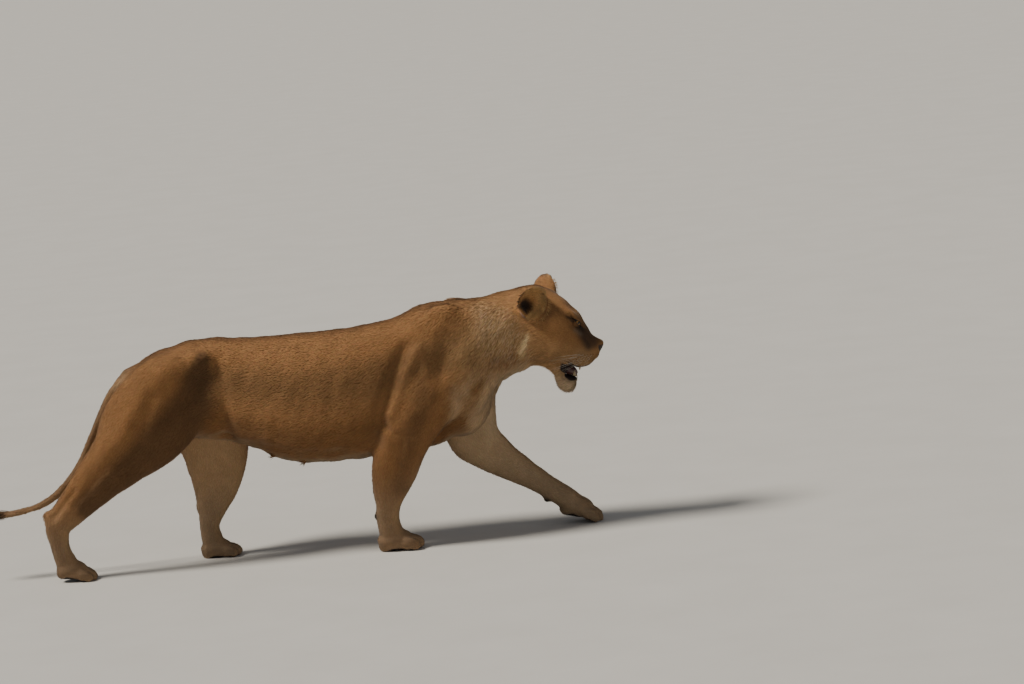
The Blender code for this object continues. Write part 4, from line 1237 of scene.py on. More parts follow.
class Marked:
    """Masks and colours of one surface: bare leather, wet parts, and the paint."""

    def __init__(self, surface, lie):
        self.lie = lie
        self.places = surface.places
        self.normals = surface.normals
        self.local = in_head(self.places)
        back = head_frame().inverted().to_3x3().to_4x4()
        self.facing = moved(back, self.normals)
        columns = np.array(TRUNK)
        top = np.interp(self.places[:, 0], columns[:, 0], columns[:, 1])
        bottom = np.interp(self.places[:, 0], columns[:, 0], columns[:, 2])
        self.level = (self.places[:, 2] - bottom) / (top - bottom)
        self.masks()

    def masks(self):
        """Nose, lids, mouth, lips and pads."""
        u, y, v = self.local.T
        flat = np.abs(y)
        head = self.lie.share["head"]
        half = np.interp(v, NOSE_HEIGHTS, NOSE_HALVES)
        rear = np.interp(v, NOSE_HEIGHTS, NOSE_BACKS)
        nose = soft(u, rear - NOSE_EDGE, rear + NOSE_EDGE) * soft(flat, half + NOSE_EDGE, half - NOSE_EDGE)
        self.nose = nose * (head > HEAD_LIMIT)
        self.lids = np.zeros(len(u))
        for side in SIDES:
            measure, reach = lid_measure(self.places, side)
            close = reach < 0.045
            self.lids = np.maximum(self.lids, soft(measure, 1.40, 1.20) * close)
        upper, lower = (np.interp(u, *seen_from_side(np.array(rim)).T)
                        for rim in (MOUTH_RIM_UPPER, MOUTH_RIM_LOWER))
        between = soft(v, upper + 0.001, upper - 0.004) * soft(v, lower - 0.003, lower + 0.002)
        under = soft(-self.facing[:, 2], 0.15, 0.50) * soft(v, -0.172, -0.162) * soft(v, -0.105, -0.115)
        under *= soft(flat, 0.046, 0.038)
        over = soft(self.facing[:, 2], 0.15, 0.50) * soft(v, -0.150, -0.160) * soft(v, -0.216, -0.206)
        over *= soft(flat, 0.036, 0.029)
        inside = (under + over + between) * soft(u, -0.020, -0.008) * soft(u, 0.106, 0.094)
        self.mouth = np.clip(inside, 0.0, 1.0) * (head > HEAD_LIMIT)
        lips = np.zeros(len(u))
        for rim in (MOUTH_RIM_UPPER, MOUTH_RIM_LOWER):
            for path in both(rim):
                lips = np.maximum(lips, line(self.local, path, LIP_MARK))
        self.lips = np.clip(lips * 1.5, 0.0, 1.0)
        self.pads = np.zeros(len(u))
        for ball, size, pitch in PAWS:
            place = paw_frame(ball, size, pitch)
            paw = moved(place.inverted(), self.places)
            down = moved(place.inverted().to_3x3().to_4x4(), self.normals)[:, 2] * size
            sole = soft(-down, 0.45, 0.75)
            heel = soft(np.hypot(paw[:, 0] + 0.010, paw[:, 1] * 0.9), 0.034, 0.028)
            toes = np.zeros(len(u))
            for index in range(4):
                across = (index - 1.5) * TOE_PITCH
                gap = np.hypot(paw[:, 0] - 0.062 + 0.010 * abs(index - 1.5), (paw[:, 1] - across) * 1.3)
                toes = np.maximum(toes, soft(gap, 0.019, 0.014))
            close = np.linalg.norm(paw, axis=1) < 0.12
            self.pads = np.maximum(self.pads, sole * np.maximum(heel, toes) * close)
        for centre, _, _ in WRIST_PADS:
            pad = 1.6 * spot(self.places, centre, WRIST_PAD_RADIUS)
            self.pads = np.maximum(self.pads, np.clip(pad, 0, 1))
        self.bare = np.clip(self.nose + self.lids + self.mouth + self.lips + self.pads, 0.0, 1.0)
        self.wet = np.clip(0.2 * self.mouth + 0.8 * self.lids + 0.5 * self.nose + 0.2 * self.lips, 0.0, 1.0)

    def paint(self):
        """The colour of every vertex."""
        marks = Marks(len(self.places), TAWNY)
        self.paint_trunk(marks)
        self.paint_limbs(marks)
        self.paint_head(marks)
        self.paint_ears(marks)
        x, y, z = self.places.T
        mottle = np.sin(x * 43 + 2.1 * np.sin(z * 29 + y * 17))
        mottle *= np.sin(z * 37 + 1.7 * np.sin(x * 31 - y * 23))
        shoulder = bell(x, 0.45, 0.16) * bell(z, 0.62, 0.20)
        marks.colours *= 1 + ((0.04 + 0.05 * shoulder) * mottle)[:, None]
        marks.lay(LEATHER, self.pads)
        marks.lay(BLACK, self.lids)
        # The mouth's inside nearly black: black lip skin at the corners, painted shadow over the rest of it.
        marks.lay(MOUTH, self.mouth)
        marks.lay(BLACK, self.lips)
        return np.clip(marks.colours, 0.0, 1.0)

    def paint_trunk(self, marks):
        """Rusty back, a greyer flank and a warmer lower side that are both darkened as painted shade, pale
        belly and breast, sandy neck, dark tail end.
        """
        share = self.lie.share
        places, level, down = self.places, self.level, -self.normals[:, 2]
        trunk = share["trunk"] + share["neck"]
        # Flank and lower side darker than the coat above them: painted shade over their own tones.
        marks.lay(FLANK, trunk * bell(level, 0.62, 0.20))
        marks.lay(UPPER, trunk * soft(level, 0.72, 0.92))
        marks.lay(RUST, 0.85 * trunk * soft(level, 0.90, 1.0) * soft(np.abs(places[:, 1]), 0.085, 0.020))
        marks.lay(LOWER, trunk * soft(level, 0.45, 0.25))
        marks.lay(PALE, 0.50 * trunk * soft(down, 0.60, 0.98) * soft(level, 0.30, 0.08))
        marks.lay(NECK, 0.85 * share["neck"] * bell(level, 0.62, 0.30))
        marks.lay(TAWNY, 0.9 * share["neck"] * soft(level, 0.88, 1.0))
        breast = soft(self.normals[:, 0], 0.0, 0.6) * soft(places[:, 0], 0.44, 0.52)
        breast *= soft(places[:, 2], 0.68, 0.56) * soft(places[:, 2], 0.30, 0.38)
        marks.lay(BREAST, 0.8 * breast)
        marks.lay(PALE, 0.75 * share["neck"] * soft(down, 0.2, 0.8))
        rear = soft(places[:, 0], -0.60, -0.68) * soft(places[:, 2], 0.30, 0.45)
        marks.lay(PALE, 0.35 * rear * (1 - share["tail"]) * soft(np.abs(places[:, 1]), 0.07, 0.02))
        marks.lay(GREY, 0.45 * share["tail"])
        marks.lay(DUSK, 0.40 * share["tail"] * soft(self.normals[:, 2], -0.2, 0.7))
        marks.lay(SAND, 0.35 * share["tail"] * soft(down, -0.2, 0.6))
        marks.lay(TUFT, share["tail"] * soft(places[:, 0], -1.120, -1.190))
        ruff = share["neck"] * ramp(np.abs(self.normals[:, 1]), 0.25, 0.60)
        marks.lay(SAND, 0.55 * ruff * soft(places[:, 0], 0.56, 0.64) * soft(level, 0.35, 0.55))
        # Painted shade along the groove low on each side of the neck.
        marks.lay(DUSK, 0.40 * ruff * line(seen_from_side(places), [(0.690, 0.660), (0.560, 0.610)], 0.045))
        wave = places[:, 0] + 0.010 * np.sin(places[:, 2] * 31.0) + 0.004 * np.sin(places[:, 2] * 97.0)
        strand = np.sin(2 * math.pi * wave / STRAND_PITCH)
        hanging = (ruff + 0.8 * share["head"] * soft(self.local[:, 0], -0.150, -0.190))
        hanging *= soft(places[:, 0], 0.57, 0.63)
        hanging *= soft(places[:, 2], 0.60, 0.66) * soft(places[:, 2], 0.86, 0.80)
        marks.lay(CREAM, 0.42 * hanging * ramp(strand, 0.0, 0.9))
        marks.lay(DUSK, 0.42 * hanging * ramp(-strand, 0.0, 0.9))
        for x, y, z in TEATS:
            gap = np.hypot(places[:, 0] - x, np.abs(places[:, 1]) - y)
            marks.lay(DUSK, bell(gap, 0.0, 0.009) * (places[:, 2] < z + 0.02) * (down > 0))

    def paint_limbs(self, marks):
        """Inner sides and lower legs paler and greyer, dark patches of painted shade at the elbows, deep
        shade on thigh and upper arm.
        """
        places, normals = self.places, self.normals
        for name, side in zip(LIMBS, (RIGHT, LEFT, RIGHT, LEFT)):
            share = self.lie.share[name]
            inner = soft(-normals[:, 1] * side, 0.05, 0.75)
            paler = 0.75 if "fore" in name else 0.45
            marks.lay(PALE, paler * share * inner * soft(places[:, 2], 0.60, 0.42))
            marks.lay(GREY, 0.70 * share * soft(places[:, 2], 0.34, 0.12))
            marks.lay(SAND, 0.45 * share * soft(normals[:, 0], 0.0, 0.7) * soft(places[:, 2], 0.40, 0.20))
        hind = self.lie.share["hindleg_right"] + self.lie.share["hindleg_left"]
        marks.lay(UPPER, 0.6 * hind * soft(places[:, 2], 0.45, 0.62))
        # Dark patches at the elbows: painted shade in the elbow's crease.
        for x, y in ((0.222, -0.125), (0.500, 0.120)):
            marks.lay(DUSK, 0.6 * spot(places, (x, y, 0.435), 0.030))
        side_on = seen_from_side(places)
        outer = ramp(normals[:, 1] * np.sign(places[:, 1]), 0.1, 0.5)
        wide = np.interp(to_path(side_on, THIGH_SHADE)[1], THIGH_SHADE_AT, THIGH_SHADE_WIDE)
        shade = np.zeros(len(places))
        for side, ahead, strength in ((RIGHT, 0.0, 1.0), (LEFT, THIGH_AHEAD, 0.6)):
            gap = to_path(side_on - np.array((ahead, 0.0)), THIGH_SHADE)[0]
            shade += strength * soft(gap, wide * 1.30, wide * 0.50) * outer * (places[:, 1] * side > 0)
        marks.lay(THIGH_DARK, 0.80 * shade)
        for side, path in ARM_PATHS:
            marks.lay(ARM_DARK, 0.55 * line(side_on, path, ARM_WIDE) * (places[:, 1] * side > 0) * outer)

    def paint_head(self, marks):
        """Face: pale muzzle and chin, painted shade beside the nose, over its bridge and below the ear, marks
        round the eye with painted shade under the brow, whisker rows.
        """
        local = self.local
        u, y, v = local.T
        flat = np.abs(y)
        head = np.clip(self.lie.share["head"] * 1.3, 0.0, 1.0)
        marks.lay(FACE, head)
        marks.lay(SAND, 0.5 * head * soft(v, -0.04, -0.14))
        marks.lay(PALE, 0.75 * head * soft(v, -0.165, -0.205))
        marks.lay(CREAM, 0.80 * head * soft(v, -0.188, -0.222) * soft(u, -0.07, -0.01))
        marks.lay(CROWN_STRIPE, 0.70 * head * soft(v, 0.045, 0.070) * soft(flat, 0.022, 0.006))
        marks.lay(NOSE_BRIDGE, 0.6 * head * soft(flat, 0.024, 0.010)
                  * bell(u, 0.045, 0.045) * soft(self.facing[:, 2], 0.1, 0.5))
        side_on = seen_from_side(local)
        # Painted shade beside the nose and over its bridge, ahead of the eyes.
        nose_side_shade = line(side_on, NOSE_SIDE_SHADE_PATH, NOSE_SHADE_WIDTH) * soft(flat, 0.012, 0.026)
        marks.lay(NOSE_SIDE_PAINTED_SHADE, 0.92 * head * nose_side_shade)
        marks.lay(BRIDGE_PAINTED_SHADE, 0.80 * head * line(side_on, BRIDGE_SHADE_PATH, NOSE_SHADE_WIDTH))
        # A dark spot below and ahead of the ear, painted as shade.
        marks.lay(DUSK, 0.55 * head * spot(side_on, UNDER_EAR_SHADE, 0.026) * (flat > 0.05))
        for side in SIDES:
            for colour, strength, path, width in FACE_MARKS:
                path = [mirrored(point, side) for point in path]
                near = line(local, path, width) if len(path) > 1 else spot(local, path[0], width)
                marks.lay(colour, strength * head * near)
            marks.lay(LOCK, 0.95 * line(side_on, LOCK_PATH, LOCK_WIDTH) * (y * side > 0.03))
            for _, _, (forward, _, height) in whisker_places():
                dot_here = spot(side_on, (forward, height), DOT_RADIUS) * (y * side > 0.012)
                marks.lay(WHISKER_DOT, 0.85 * dot_here * head)
        marks.lay(LEATHER, self.nose)
        marks.lay(NOSE_TOP, 0.8 * self.nose * soft(self.facing[:, 2], 0.2, 0.6))
        marks.lay(BLACK, line(local, [(0.112, 0.0, -0.084), (0.098, 0.0, -0.116)], 0.0028) * (u > 0.06))

    def paint_ears(self, marks):
        """Warm backs with a dark band; tawny inside with a dark hollow in painted shadow, and a golden flap
        and front painted brighter as lit.
        """
        for name, (centre, outward, tip) in zip(EAR_NAMES, EARS):
            share = np.clip(self.lie.share[name] * 1.4, 0.0, 1.0)
            out = np.array(outward) / np.linalg.norm(outward)
            inside = soft(self.facing @ out, -0.1, 0.3)
            from_middle = self.local - np.array(centre)
            deep = from_middle @ out
            wide = np.linalg.norm(from_middle - deep[:, None] * out, axis=1)
            bowl = soft(wide, 0.058, 0.050) * soft(-deep, 0.058, 0.048) * soft(deep, 0.012, 0.004) * inside
            share = np.maximum(share, bowl)
            marks.lay(EAR_BACK, 0.9 * share * (1 - inside))
            marks.lay(EAR_BAND, 0.75 * share * (1 - inside) * soft(wide, 0.046, 0.034)
                      * soft(from_middle @ out, -0.012, -0.024))
            marks.lay(EAR_INSIDE, share * inside)
            hollow = np.linalg.norm(from_middle + np.array((0.010, 0.0, 0.006)), axis=1)
            marks.lay(EAR_SHADOW, 0.97 * share * inside * soft(hollow, 0.045, 0.028))
            # The flap and the front of the inside: golden hair, painted brighter as sunlit.
            flap = soft(from_middle @ np.array(tip), 0.010, 0.040) * inside
            marks.lay(EAR_FLAP_GOLD_AND_LIT, 0.85 * share * flap)
            marks.lay(EAR_FRONT_GOLD_AND_LIT, 0.85 * share * inside * soft(from_middle[:, 0], 0.002, 0.022))
            marks.lay(EAR_RIM, 0.6 * share * soft(wide, 0.050, 0.058))
            rear = soft(-self.facing[:, 0], 0.1, 0.6) * soft(wide, 0.044, 0.056)
            marks.lay(EAR_REAR, 0.65 * share * rear)


# ---------------------------------------------------------------- the coat
FACE_START = 0.915         # where the head's coat is divided, and the trunk's
LOIN_END = 0.10
FAR = 9.0                  # beyond the body

# Coat pieces: name, region, and where along X it starts and ends.
COAT_PIECES = [
    ("coat_face", "head", FACE_START, FAR),
    ("coat_skull", "head", -FAR, FACE_START),
    ("coat_neck", "neck", -FAR, FAR),
    ("coat_chest", "trunk", LOIN_END, FAR),
    ("coat_loin", "trunk", -FAR, LOIN_END),
]
COAT_PIECES += [("coat_" + name, name, -FAR, FAR) for name in (*LIMBS, "tail", *EAR_NAMES)]


class Coat:
    """Length, width, lift and number of the tufts over the skin."""

    def __init__(self, marked):
        lie, places = marked.lie, marked.places
        u, y, v = marked.local.T
        head = lie.share["head"]
        paw = soft(places[:, 2], 0.110, 0.060)
        muzzle = head * soft(u, -0.02, 0.05) * soft(v, -0.16, -0.13)
        chin = head * soft(v, -0.185, -0.215) * soft(u, -0.06, 0.0)
        cheek = spot(marked.local[:, [0, 2]], (-0.150, -0.110), 0.075) * (np.abs(y) > 0.04)
        throat = (head + lie.share["neck"]) * soft(-marked.normals[:, 2], 0.1, 0.7)
        belly = lie.share["trunk"] * soft(-marked.normals[:, 2], 0.3, 0.8)
        behind = sum(lie.share[name] for name in LIMBS) * soft(-marked.normals[:, 0], 0.3, 0.9)
        behind *= soft(places[:, 2], 0.16, 0.24)
        eyes = np.zeros(len(u))
        for side in SIDES:
            reach = lid_measure(places, side)[1]
            eyes = np.maximum(eyes, soft(reach, 0.050, 0.026))
        fine = np.clip(muzzle + eyes, 0.0, 1.0)
        self.length = lie.blend(TUFT_LENGTH)
        self.length *= 1 - 0.45 * paw
        self.length *= 1 - 0.55 * fine
        self.length += 0.006 * chin + 0.014 * cheek * head + 0.006 * throat + 0.006 * belly + 0.006 * behind
        self.width = lie.blend(TUFT_WIDTH) * (1 - 0.35 * paw) * (1 - 0.32 * fine)
        self.spread = lie.blend(TONE_SPREAD)
        self.fade = 0.50 + 0.50 * lie.share["neck"]
        self.lift = lie.blend(TUFT_LIFT) + 0.10 * chin + 0.10 * cheek * head + 0.08 * throat + 0.10 * behind
        self.many = lie.blend(TUFTS_PER_M2) * (1 + 1.4 * paw) * (1 + 0.5 * fine)
        self.many *= soft(marked.bare, 0.55, 0.15) * soft(places[:, 2], 0.004, 0.010)
        self.many *= 1 - lie.share["tail"] * soft(places[:, 0], -1.13, -1.17)
        self.marked = marked


def scatter(surface, many, lie, region, low, high):
    """Roots of tufts: their triangles and the shares of each triangle's corners."""
    middle = surface.places[surface.faces].mean(axis=1)
    inside = lie.region[surface.faces[:, 0]] == lie.names.index(region)
    inside = inside & (middle[:, 0] >= low) & (middle[:, 0] < high)
    chance = surface.areas * many[surface.faces].mean(axis=1) * inside
    count = int(chance.sum())
    steps = np.cumsum(chance)
    picks = np.searchsorted(steps, (np.arange(count) + rng.random(count)) * steps[-1] / count)
    shares = rng.random((count, 2))
    over = shares.sum(axis=1) > 1
    shares[over] = 1 - shares[over]
    shares = np.column_stack([shares, 1 - shares.sum(axis=1)])
    return surface.faces[np.minimum(picks, len(surface.faces) - 1)], shares


def at_roots(values, corners, shares):
    """Values of the vertices read at the roots."""
    found = values[corners]
    if found.ndim == 2:
        return (found * shares).sum(axis=1)
    return (found * shares[:, :, None]).sum(axis=1)


def slivers(roots, normals, way, length, width, lift):
    """Closed slivers, each of four corners: root, left, right, tip."""
    count = len(roots)
    across = np.cross(normals, way)
    sway = rng.normal(0.0, 0.16, count)[:, None]
    way = unit(way * np.cos(sway) + across * np.sin(sway))
    across = np.cross(normals, way)
    length = length * rng.uniform(0.70, 1.20, count)
    lift = lift * rng.uniform(0.55, 1.35, count)
    rise = length * np.sin(lift)
    reach = length * np.cos(lift)
    bend = 0.45
    high = rise * 0.62
    root = roots - normals * 0.0006
    middle = roots + way * (reach * bend)[:, None] + normals * high[:, None]
    side = across * (width * rng.uniform(0.75, 1.20, count) / 2)[:, None]
    tip = roots + way * reach[:, None] + normals * (rise * 0.95)[:, None]
    corners = np.stack([root, middle + side, middle - side, tip], axis=1).reshape(-1, 3)
    first = np.arange(count)[:, None] * 4
    faces = np.array([(0, 2, 1), (1, 2, 3), (0, 1, 3), (0, 3, 2)])
    return corners, (first[:, None] + faces[None]).reshape(-1, 3)


def mesh_of(name, places, faces, slot):
    """An object that rides on the body, from places in the design frame."""
    mesh = bpy.data.meshes.new(name)
    mesh.vertices.add(len(places))
    mesh.vertices.foreach_set("co", (places + SHIFT).astype(np.float32).ravel())
    mesh.loops.add(faces.size)
    mesh.loops.foreach_set("vertex_index", faces.astype(np.int32).ravel())
    mesh.polygons.add(len(faces))
    mesh.polygons.foreach_set("loop_start", np.arange(0, faces.size, faces.shape[1], dtype=np.int32))
    mesh.update(calc_edges=True)
    mesh.validate()
    item = bpy.data.objects.new(name, mesh)
    bpy.context.scene.collection.objects.link(item)
    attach(item, "root")
    return item


def dress(item, material):
    """Smooth shading and the material of a finished piece."""
    item.data.shade_smooth()
    item.data.materials.append(material)


def give(item, name, kind, values):
    """Store values on the vertices of an object."""
    layer = item.data.attributes.new(name, kind, "POINT")
    key = "color" if kind == "FLOAT_COLOR" else ("vector" if kind == "FLOAT_VECTOR" else "value")
    if kind == "FLOAT_COLOR":
        values = np.column_stack([values, np.ones(len(values))])
    layer.data.foreach_set(key, np.ascontiguousarray(values, dtype=np.float32).ravel())


PATCH = 0.0015             # half the size of a tuft's place on the map
TUFT_PATCH = np.array([(0.0, -PATCH), (-PATCH, 0.2 * PATCH), (PATCH, 0.2 * PATCH), (0.0, PATCH)])


def hair_patch(count):
    """Places for a hair's corners, on a small spiral."""
    turn = 2.4 * np.arange(count)
    reach = PATCH * np.sqrt((np.arange(count) + 0.5) / count)
    return np.column_stack([np.cos(turn) * reach, np.sin(turn) * reach])


def lay_map(item, centres, patch):
    """The map OFBake: each tuft a small patch at its root's place on the unrolled skin."""
    points = (centres[:, None] + patch[None]).reshape(-1, 2)
    layer = item.data.uv_layers.new(name="OFBake")
    index = np.zeros(len(item.data.loops), dtype=np.int32)
    item.data.loops.foreach_get("vertex_index", index)
    layer.uv.foreach_set("vector", points[index].astype(np.float32).ravel())


def unrolled(along, around):
    """Places on the skin unrolled round its region's middle, from 0 to 1 both ways."""
    low, high = along.min(), along.max()
    first = 0.03 + 0.94 * (along - low) / max(high - low, 1e-6)
    second = 0.03 + 0.94 * (around + math.pi) / (2 * math.pi)
    return np.column_stack([first, second])


def grow_coat(surface, coat, colours, material):
    """The coat of the whole body, one piece per region."""
    lie = coat.marked.lie
    for name, region, low, high in COAT_PIECES:
        corners, shares = scatter(surface, coat.many, lie, region, low, high)
        read = functools.partial(at_roots, corners=corners, shares=shares)
        roots, normals, way = read(surface.places), unit(read(surface.normals)), read(lie.way)
        way = unit(way - normals * dot(way, normals)[:, None])
        places, faces = slivers(roots, normals, way, read(coat.length), read(coat.width), read(coat.lift))
        places[:, 2] = np.maximum(places[:, 2], 0.0005)
        item = mesh_of(name, places, faces, "coat")
        tone = read(colours) * (1 + read(coat.spread) * rng.normal(0.0, 1.0, len(roots)))[:, None]
        tone *= 1 + rng.normal(0.0, 0.04, (len(roots), 3))
        fade = 1 + np.array([-0.30, -0.05, -0.05, 0.24]) * read(coat.fade)[:, None]
        give(item, "Paint", "FLOAT_COLOR", np.clip((tone[:, None] * fade[:, :, None]).reshape(-1, 3), 0, 1))
        nearest = corners[:, 0]
        lay_map(item, unrolled(lie.along[nearest], lie.round[nearest]), TUFT_PATCH)
        shade = np.repeat(unit(normals + 0.35 * way), 4, axis=0)
        dress(item, material)
        item.data.normals_split_custom_set_from_vertices(shade.tolist())


# ---------------------------------------------------------------- hairs, eyes and mouth
WHISKER_PULL = (-0.34, -0.20, -0.22)      # the way that a whisker bends, in the head's frame
WHISKER_RADIUS = 0.00042
WHISKER_STEPS = 8
BROW_HAIR_PULL = (-0.10, 0.30, -0.25)
BROW_HAIR_RADIUS = 0.00030
HAIR_STEPS = 4
HAIR_CORNERS = 3 * HAIR_STEPS + 1
TAIL_TUFTS_PER_M2 = 190e3
RIM_HAIRS = 340                           # on each ear: across the hollow, and round its front
FRONT_HAIRS = 150


def hairs(roots, ways, pulls, lengths, radii, steps=HAIR_STEPS):
    """Closed three-sided hairs that set out along ways and bend towards pulls."""
    count = len(roots)
    times = np.arange(steps) / steps
    spine = (roots[:, None] + ways[:, None] * (lengths[:, None] * times)[..., None]
             + pulls[:, None] * (lengths[:, None] * times ** 2)[..., None])
    along = ways[:, None] + 2 * pulls[:, None] * times[:, None]
    along = unit(along)
    side = unit(np.cross(along, np.array((0.31, 0.52, 0.79))))
    top = np.cross(along, side)
    wide = radii[:, None] * (1 - 0.75 * times ** 1.5)
    rings = []
    for corner in range(3):
        angle = 2 * math.pi * corner / 3
        rings.append(spine + (side * math.cos(angle) + top * math.sin(angle)) * wide[..., None])
    rings = np.stack(rings, axis=2).reshape(count, steps * 3, 3)
    tips = (roots + ways * lengths[:, None] + pulls * lengths[:, None])[:, None]
    places = np.concatenate([rings, tips], axis=1).reshape(-1, 3)
    faces = [(0, 2, 1)]
    for step in range(steps - 1):
        for corner in range(3):
            here, after = step * 3 + corner, step * 3 + (corner + 1) % 3
            faces.append((here, after, after + 3))
            faces.append((here, after + 3, here + 3))
    last = (steps - 1) * 3
    for corner in range(3):
        faces.append((last + corner, last + (corner + 1) % 3, steps * 3))
    first = np.arange(count)[:, None, None] * (steps * 3 + 1)
    return places, (first + np.array(faces)[None]).reshape(-1, 3)


def make_tuft(surface, marked, material):
    """The dark lock at the tail's end."""
    lie = marked.lie
    x = surface.places[:, 0]
    many = TAIL_TUFTS_PER_M2 * lie.share["tail"] * soft(x, -1.125, -1.175)
    corners, shares = scatter(surface, many, lie, "tail", -FAR, FAR)
    read = functools.partial(at_roots, corners=corners, shares=shares)
    roots, normals, way = read(surface.places), unit(read(surface.normals)), unit(read(lie.way))
    count = len(roots)
    far = ramp(roots[:, 0], -1.14, -1.26)
    lengths = 0.040 + 0.030 * np.sin(math.pi * ramp(roots[:, 0], -1.12, -1.31))
    lengths *= 0.80 * rng.uniform(0.75, 1.10, count)
    stand = rng.uniform(0.35, 0.75, count) * (1 - 0.35 * far)
    ways = unit(way + normals * stand[:, None] + rng.normal(0.0, 0.10, (count, 3)))
    pulls = (way * 0.30 - normals * (0.42 * stand)[:, None] + rng.normal(0.0, 0.05, (count, 3)))
    pulls[:, 2] -= 0.04
    radii = rng.uniform(0.0009, 0.0016, count)
    places, faces = hairs(roots - normals * 0.001, ways, pulls, lengths, radii)
    item = mesh_of("tuft_hair", places, faces, "dark_hair")
    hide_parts("tail_tuft")
    shade = rng.uniform(0.55, 1.7, count)[:, None] * np.array(TUFT)
    brown = (soft(roots[:, 0], -1.190, -1.130) * rng.uniform(0.4, 1.0, count))[:, None]
    shade = np.repeat(shade + (np.array(DUSK) - shade) * brown, HAIR_CORNERS, axis=0)
    give(item, "Paint", "FLOAT_COLOR", shade)
    centres = unrolled(lie.along[corners[:, 0]], lie.round[corners[:, 0]])
    lay_map(item, centres, hair_patch(HAIR_CORNERS))
    dress(item, material)


def make_whiskers(material):
    """Pale whiskers in rows on both sides of the muzzle, and a few over the eyes."""
    frame = head_frame()
    roots, ways, pulls, lengths, radii = [], [], [], [], []
    for side in SIDES:
        for row, number, place in whisker_places():
            roots.append(moved(frame, np.array([mirrored(place, side)]))[0])
            back = -0.10 - 0.16 * number + rng.normal(0, 0.05)
            down = -0.10 - 0.12 * row + rng.normal(0, 0.05)
            ways.append(turned(frame, mirrored((back, 1.0, down), side)))
            pulls.append(np.array(frame.to_3x3() @ Vector(mirrored(WHISKER_PULL, side))))
            lengths.append(rng.uniform(0.055, 0.075) + 0.006 * number)
            radii.append(WHISKER_RADIUS)
        for number in range(4):
            place = mirrored((-0.012 + 0.007 * number, 0.040 - 0.003 * number, 0.034 - 0.003 * number), side)
            roots.append(moved(frame, np.array([place]))[0])
            ways.append(turned(frame, mirrored((0.25, 0.55, 1.0), side)))
            pulls.append(np.array(frame.to_3x3() @ Vector(mirrored(BROW_HAIR_PULL, side))))
            lengths.append(rng.uniform(0.035, 0.050))
            radii.append(BROW_HAIR_RADIUS)
    places, faces = hairs(*map(np.array, (roots, ways, pulls, lengths, radii)), steps=WHISKER_STEPS)
    item = mesh_of("whiskers", places, faces, "coat")
    spots = in_head(np.array(roots))
    lay_map(item, 0.5 + 2.0 * spots[:, 1:], hair_patch(3 * WHISKER_STEPS + 1))
    dress(item, material)


def make_ear_hair(surface, marked, material):
    """Long pale hair from the ears' front rims across their hollows."""
    roots, ways, pulls, lengths, spots = [], [], [], [], []
    frame = head_frame()
    for ear, (centre, outward, tip) in enumerate(EARS):
        out = turned(frame, outward)
        up = turned(frame, tip)
        up = unit(up - out * (up @ out))
        across = np.cross(up, out)
        across = across if across[0] > 0 else -across
        middle = np.array(frame @ Vector(centre))
        for _ in range(RIM_HAIRS):
            angle = rng.uniform(-1.5, 1.25)
            deep = rng.uniform(0.0, 1.0)
            rim = across * math.cos(angle) * EAR_WIDTH * 0.84 + up * math.sin(angle) * EAR_LENGTH * 0.84
            roots.append(middle + rim * (1 - 0.10 * deep) - out * (0.002 + 0.012 * deep))
            inward = unit(-rim + up * rng.normal(0.030, 0.015))
            ways.append(unit(out * rng.uniform(0.35, 0.9) + inward))
            pulls.append(-out * 0.25 + inward * 0.25)
            lengths.append(rng.uniform(0.016, 0.034))
            spots.append((0.05 + 0.30 * (angle + 1.5), 0.05 + 0.45 * ear + 0.40 * deep))
        for _ in range(FRONT_HAIRS):
            angle = rng.uniform(-0.75, 0.85)
            rim = across * math.cos(angle) * EAR_WIDTH * 0.90 + up * math.sin(angle) * EAR_LENGTH * 0.90
            roots.append(middle + rim - out * 0.004)
            ways.append(unit(unit(rim) * rng.uniform(0.2, 0.8) + out * rng.uniform(0.4, 0.9)))
            pulls.append(unit(rim) * 0.10 - up * 0.35)
            lengths.append(rng.uniform(0.006, 0.011) if ear else rng.uniform(0.010, 0.020))
            spots.append((0.05 + 0.30 * (angle + 1.5), 0.48 + 0.45 * ear))
    count = len(roots)
    radii = rng.uniform(0.0003, 0.0005, count)
    places, faces = hairs(*map(np.array, (roots, ways, pulls, lengths)), radii)
    item = mesh_of("ear_hair", places, faces, "coat")
    tone = rng.uniform(0.75, 1.20, count)[:, None] * np.array(EAR_HAIR)
    give(item, "Paint", "FLOAT_COLOR", np.repeat(tone, HAIR_CORNERS, axis=0))
    lay_map(item, np.array(spots), hair_patch(HAIR_CORNERS))
    dress(item, material)


